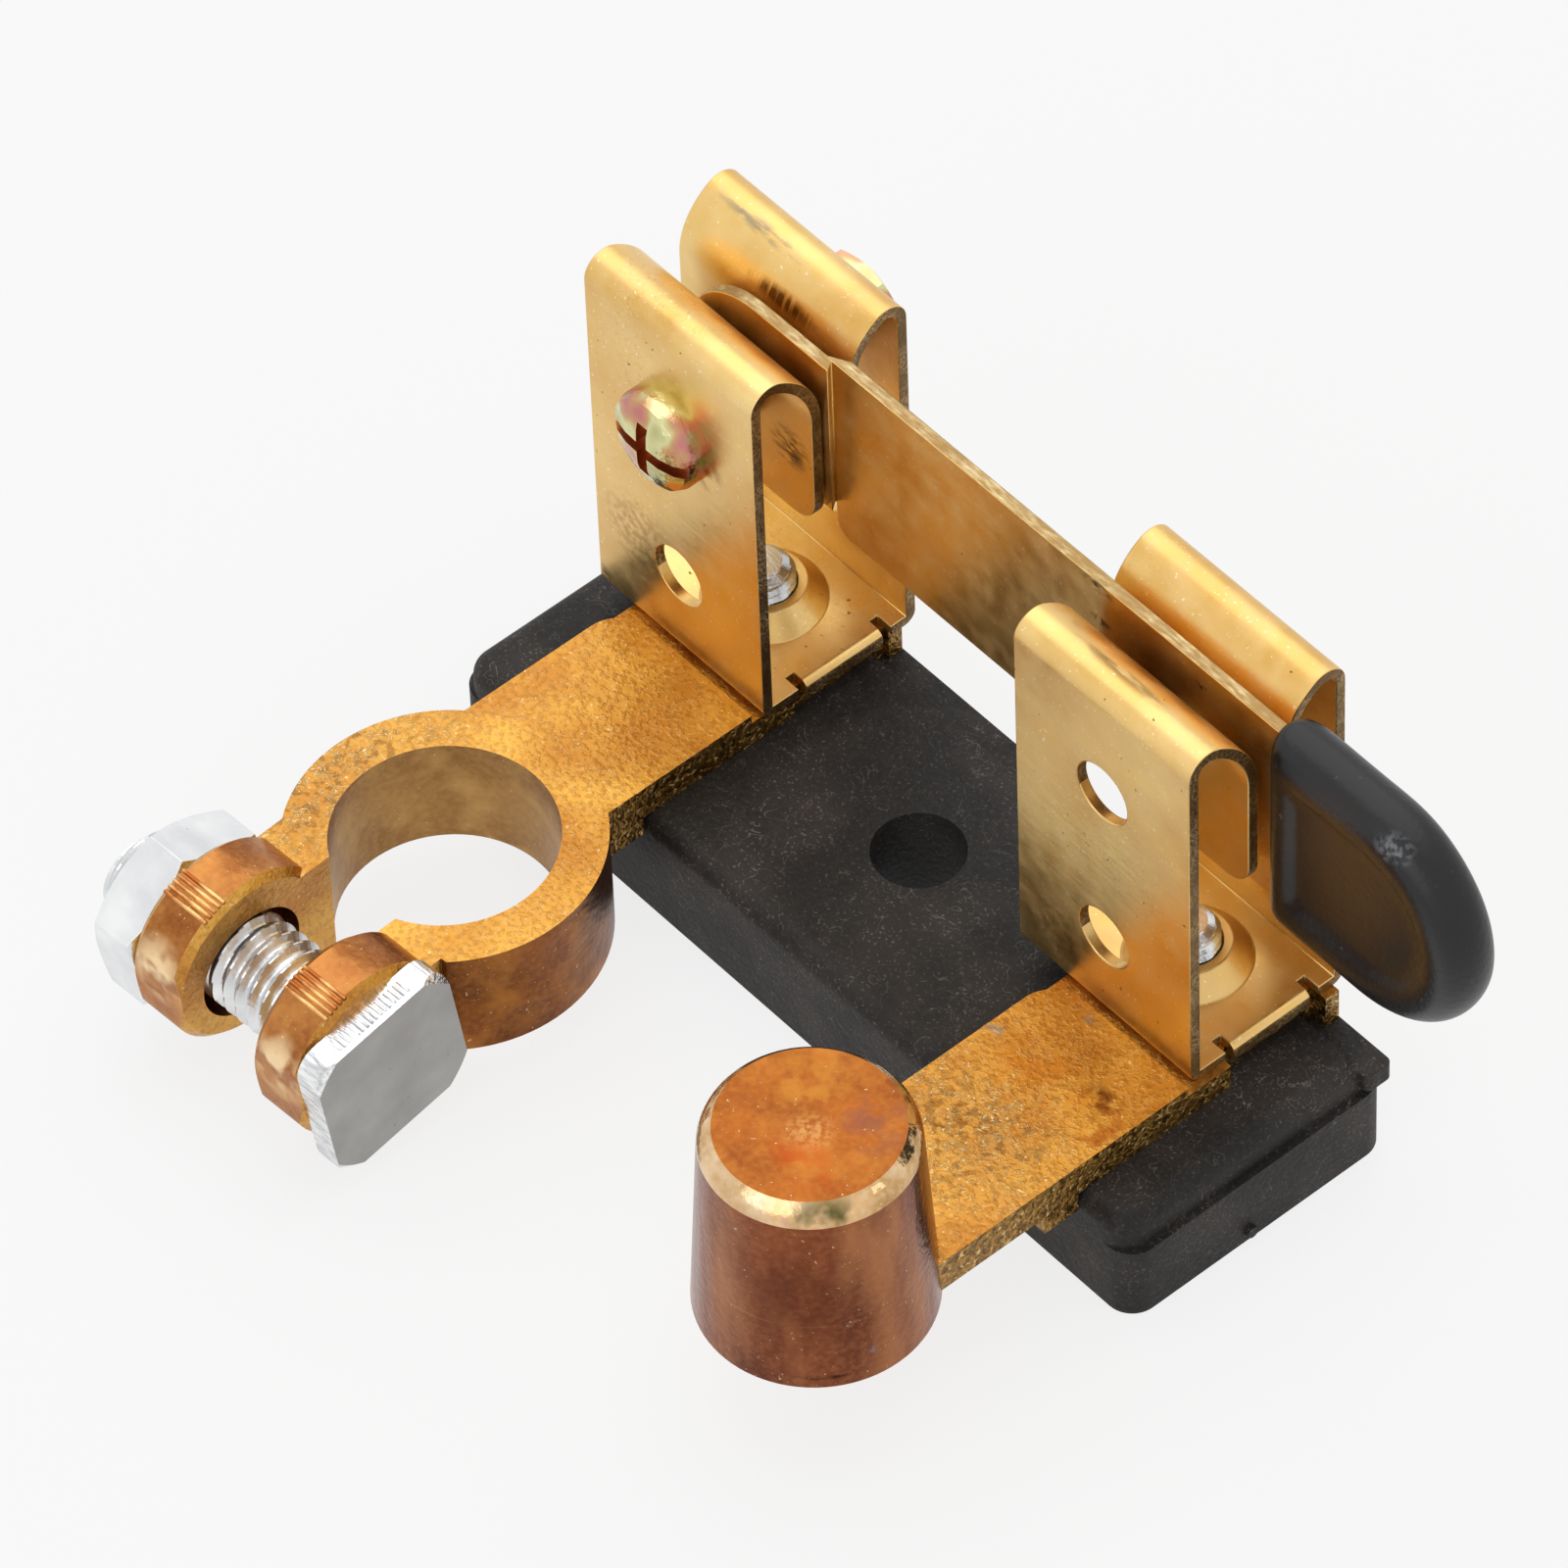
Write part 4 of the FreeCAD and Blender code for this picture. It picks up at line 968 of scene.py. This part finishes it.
class SWITCH_OT_screws(bpy.types.Operator):
    """Turns the pivot screw with its nut and the two screws of the base."""

    bl_idname = "switch.screws"
    bl_label = "Screws"

    def execute(self, context):
        finish, sizes, _, _ = looks()
        tree = thread_tree()
        plated = yellow_zinc()
        # painted shade: the screw's recess is given a darker, reddish colour
        recess = zinc_plate("soiled_recess", hex_colour("E0A878"), "A0603A", 0.3)
        bright = zinc_plate("zinc_plated_screw", tuple(finish.zinc), "B4B7BA", 0.25)
        low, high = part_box("pivot_screw")
        wall_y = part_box("pivot_bracket")[0].y
        middle = ((low.x + high.x) / 2, wall_y, (low.z + high.z) / 2)
        radius = 2.5 * MM
        groove_radius = 3.9 * MM
        recess_top = low.y + 1.0 * MM
        thread_length = 12 * MM
        pivot = without_shank("pivot_screw", "pivot_screw_turned", middle, (0, 1, 0), radius)
        finish_faces(pivot, [plated, recess], lambda centre, normal: int(
            near_axis(centre, middle, (0, 1, 0), groove_radius)
            and (abs(normal.y) < 0.1 or normal.y < -0.99 and centre.y > recess_top)),
            crease=30)
        turns = thread(tree, middle, (0, 1, 0), high.y - wall_y, radius, sizes.m5_pitch,
                       sizes.m5_depth, sizes.tip_bevel, plated)
        pivot = joined("pivot_screw_turned", [pivot], [turns])
        stands_for(pivot, "pivot_screw", "frame")
        nut = welded_copy("pivot_nut", "pivot_nut_turned")
        finish_faces(nut, [plated])
        break_edges(nut, finish.sheet_edge)
        stands_for(nut, "pivot_nut", "frame")
        for node in ("base_screw_clamp_side", "base_screw_post_side"):
            low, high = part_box(node)
            seat = ((low.x + high.x) / 2, (low.y + high.y) / 2, high.z - thread_length)
            head = without_shank(node, node + "_turned", seat, (0, 0, 1), radius)
            finish_faces(head, [bright], crease=30)
            turns = thread(tree, seat, (0, 0, 1), thread_length, radius, sizes.m5_pitch,
                           sizes.m5_depth, sizes.tip_bevel, bright)
            screw = joined(node + "_turned", [head], [turns])
            stands_for(screw, node, "frame")
        return {"FINISHED"}


class SWITCH_OT_clamp_bolt(bpy.types.Operator):
    """Turns the clamp's bolt and nut."""

    bl_idname = "switch.clamp_bolt"
    bl_label = "Clamp bolt"

    def execute(self, context):
        finish, sizes, _, _ = looks()
        line, axis, _ = clamp_axis()
        radius = 3.95 * MM
        ridge_setback = 0.35 * MM
        zinc = tuple(finish.zinc)
        sides = trimmed_zinc()
        front = zinc_plate("dull_zinc_front", tuple(finish.dull_zinc), "9C9A97", 0.42)
        bolt = welded_copy("clamp_bolt", "clamp_bolt_measured")
        reach = [(v.co - line).dot(axis) for v in bolt.data.vertices]
        wide = [(v.co - line).dot(axis) for v in bolt.data.vertices
                if not near_axis(v.co, line, axis, 5 * MM)]
        upper = max((face for face in bolt.data.polygons
                     if abs(face.normal.dot(axis)) < 0.1 and face.normal.z > 0.9
                     and (face.center - line).dot(axis) > min(wide)), key=lambda face: face.area)
        side, lean = upper.center.copy(), upper.normal.copy()
        bpy.data.objects.remove(bolt)
        tip = line + axis * min(reach)
        seat = line + axis * min(wide)
        head = without_shank("clamp_bolt", "clamp_bolt_turned", seat, -axis, radius)
        finish_faces(head, [front, sides],
                     lambda centre, normal: int(abs(normal.dot(axis)) < 0.9), crease=20)
        turns = thread(thread_tree(), seat, -axis, (seat - tip).length, radius,
                       sizes.m8_pitch, sizes.m8_depth, sizes.tip_bevel,
                       zinc_plate("zinc_plated_thread", zinc, "C8CACC"))
        across = lean.cross(axis)
        place = Matrix((across, lean, axis)).transposed().to_4x4()
        ridges = grown(ridge_tree(), {
            "Count": 16, "Start": -3.4 * MM, "Step": 0.45 * MM, "Surface": 0.0,
            "Length": 1.2 * MM, "Radius": 0.13 * MM, "Material": sides,
        }, Matrix.Translation(side - axis * ridge_setback) @ place)
        bolt = joined("clamp_bolt_turned", [head], [turns, ridges])
        stands_for(bolt, "clamp_bolt", "bolt")
        nut = welded_copy("clamp_nut", "clamp_nut_turned")
        finish_faces(nut, [zinc_plate("zinc_plated_nut", zinc, "DADCDE", 0.22)])
        break_edges(nut, finish.sheet_edge)
        stands_for(nut, "clamp_nut", "nut")
        return {"FINISHED"}


def white_to_the_eye(tree, rays):
    """A factor that is 1 for camera, mirror and glass rays, and 0 for the light's own."""
    path = add(tree, "ShaderNodeLightPath").outputs
    seen = path["Is Camera Ray"]
    for ray in rays:
        seen = add(tree, "ShaderNodeMath", {0: seen, 1: path[ray]}, operation="MAXIMUM").outputs[0]
    return seen


class SWITCH_OT_stage(bpy.types.Operator):
    """Sets the floor, the camera and the light."""

    bl_idname = "switch.stage"
    bl_label = "Stage"

    def execute(self, context):
        stage = looks()[3]
        scene = context.scene
        scene.view_settings.view_transform = "Standard"
        rays = ("Is Glossy Ray", "Is Transmission Ray")

        world = bpy.data.worlds.new("white_room")
        scene.world = world
        world.use_nodes = True
        tree = world.node_tree
        tree.nodes.clear()
        seen = white_to_the_eye(tree, rays)
        level = add(tree, "ShaderNodeMapRange", {"Value": seen, "To Min": 0.55, "To Max": 1.0})
        sky = add(tree, "ShaderNodeBackground",
                  {"Strength": level.outputs[0], "Color": (1, 1, 1, 1)})
        add(tree, "ShaderNodeOutputWorld", {"Surface": sky.outputs[0]})

        paper = bpy.data.materials.new("white_paper")
        paper.use_nodes = True
        tree = paper.node_tree
        tree.nodes.clear()
        seen = white_to_the_eye(tree, rays)
        glow_share = 0.8
        share = add(tree, "ShaderNodeMath", {0: seen, 1: glow_share}, operation="MULTIPLY")
        matte = add(tree, "ShaderNodeBsdfDiffuse", {"Color": "E8E8E8"})
        glow = add(tree, "ShaderNodeEmission", {"Color": (1, 1, 1, 1), "Strength": 1.0})
        blend = add(tree, "ShaderNodeMixShader", {0: share.outputs[0], 1: matte.outputs[0],
                                                  2: glow.outputs[0]})
        add(tree, "ShaderNodeOutputMaterial", {"Surface": blend.outputs[0]})
        reach = 3.0
        drop = -0.02 * MM
        corners = [(-reach, -reach, drop), (reach, -reach, drop), (reach, reach, drop),
                   (-reach, reach, drop)]
        mesh = bpy.data.meshes.new("floor")
        mesh.from_pydata(corners, [], [(0, 1, 2, 3)])
        mesh.materials.append(paper)
        link("floor", mesh)

        right = Vector((math.cos(stage.azimuth), math.sin(stage.azimuth), 0))
        up = Vector((-math.sin(stage.azimuth) * math.sin(stage.elevation),
                     math.cos(stage.azimuth) * math.sin(stage.elevation),
                     math.cos(stage.elevation)))
        back = right.cross(up)
        across = right * math.cos(stage.roll) + up * math.sin(stage.roll)
        upward = up * math.cos(stage.roll) - right * math.sin(stage.roll)
        lens = bpy.data.cameras.new("camera")
        lens.lens = stage.lens
        lens.sensor_width = 36
        lens.clip_end = 10
        camera = bpy.data.objects.new("camera", lens)
        scene.collection.objects.link(camera)
        turn = Matrix((across, upward, back)).transposed().to_4x4()
        camera.matrix_world = Matrix.Translation(Vector(stage.target) + back * stage.distance) @ turn
        scene.camera = camera

        lit_point = Vector((0, -0.01, 0.02))
        lamps = (("overhead_soft_box", (-0.22, 0.16, 0.72), 1.1, stage.key_power),
                 ("front_soft_box", (0.15, -0.8, 0.5), 0.8, stage.key_power * 0.5))
        for name, place, size, power in lamps:
            lamp = bpy.data.lights.new(name, "AREA")
            lamp.shape = "DISK"
            lamp.size = size
            lamp.energy = power
            box = bpy.data.objects.new(name, lamp)
            scene.collection.objects.link(box)
            aim = lit_point - Vector(place)
            box.matrix_world = Matrix.Translation(Vector(place)) @ \
                aim.to_track_quat("-Z", "Y").to_matrix().to_4x4()
        return {"FINISHED"}


class SWITCH_PT_panel(bpy.types.Panel):
    """Lists the steps that dress the switch."""

    bl_idname = "SWITCH_PT_panel"
    bl_label = "Battery disconnect switch"
    bl_space_type = "VIEW_3D"
    bl_region_type = "UI"
    bl_category = "Switch"

    def draw(self, context):
        for step in STEPS:
            self.layout.operator(step.bl_idname)


STEPS = (SWITCH_OT_base, SWITCH_OT_arms, SWITCH_OT_brackets, SWITCH_OT_blade, SWITCH_OT_grip,
         SWITCH_OT_screws, SWITCH_OT_clamp_bolt, SWITCH_OT_stage)
GROUPS = (("switch_finish", SwitchFinish), ("switch_thread", SwitchThread),
          ("switch_grip", SwitchGrip), ("switch_stage", SwitchStage))


def register():
    """Adds the settings, the operators and the panel."""
    for name, group in GROUPS:
        bpy.utils.register_class(group)
        setattr(bpy.types.Scene, name, bpy.props.PointerProperty(type=group))
    for step in STEPS:
        bpy.utils.register_class(step)
    bpy.utils.register_class(SWITCH_PT_panel)


def unregister():
    """Takes them away again."""
    bpy.utils.unregister_class(SWITCH_PT_panel)
    for step in reversed(STEPS):
        bpy.utils.unregister_class(step)
    for name, group in reversed(GROUPS):
        delattr(bpy.types.Scene, name)
        bpy.utils.unregister_class(group)


def main():
    """Dresses the whole switch."""
    register()
    for step in STEPS:
        family, action = step.bl_idname.split(".")
        getattr(getattr(bpy.ops, family), action)()


if __name__ == "__main__":
    main()
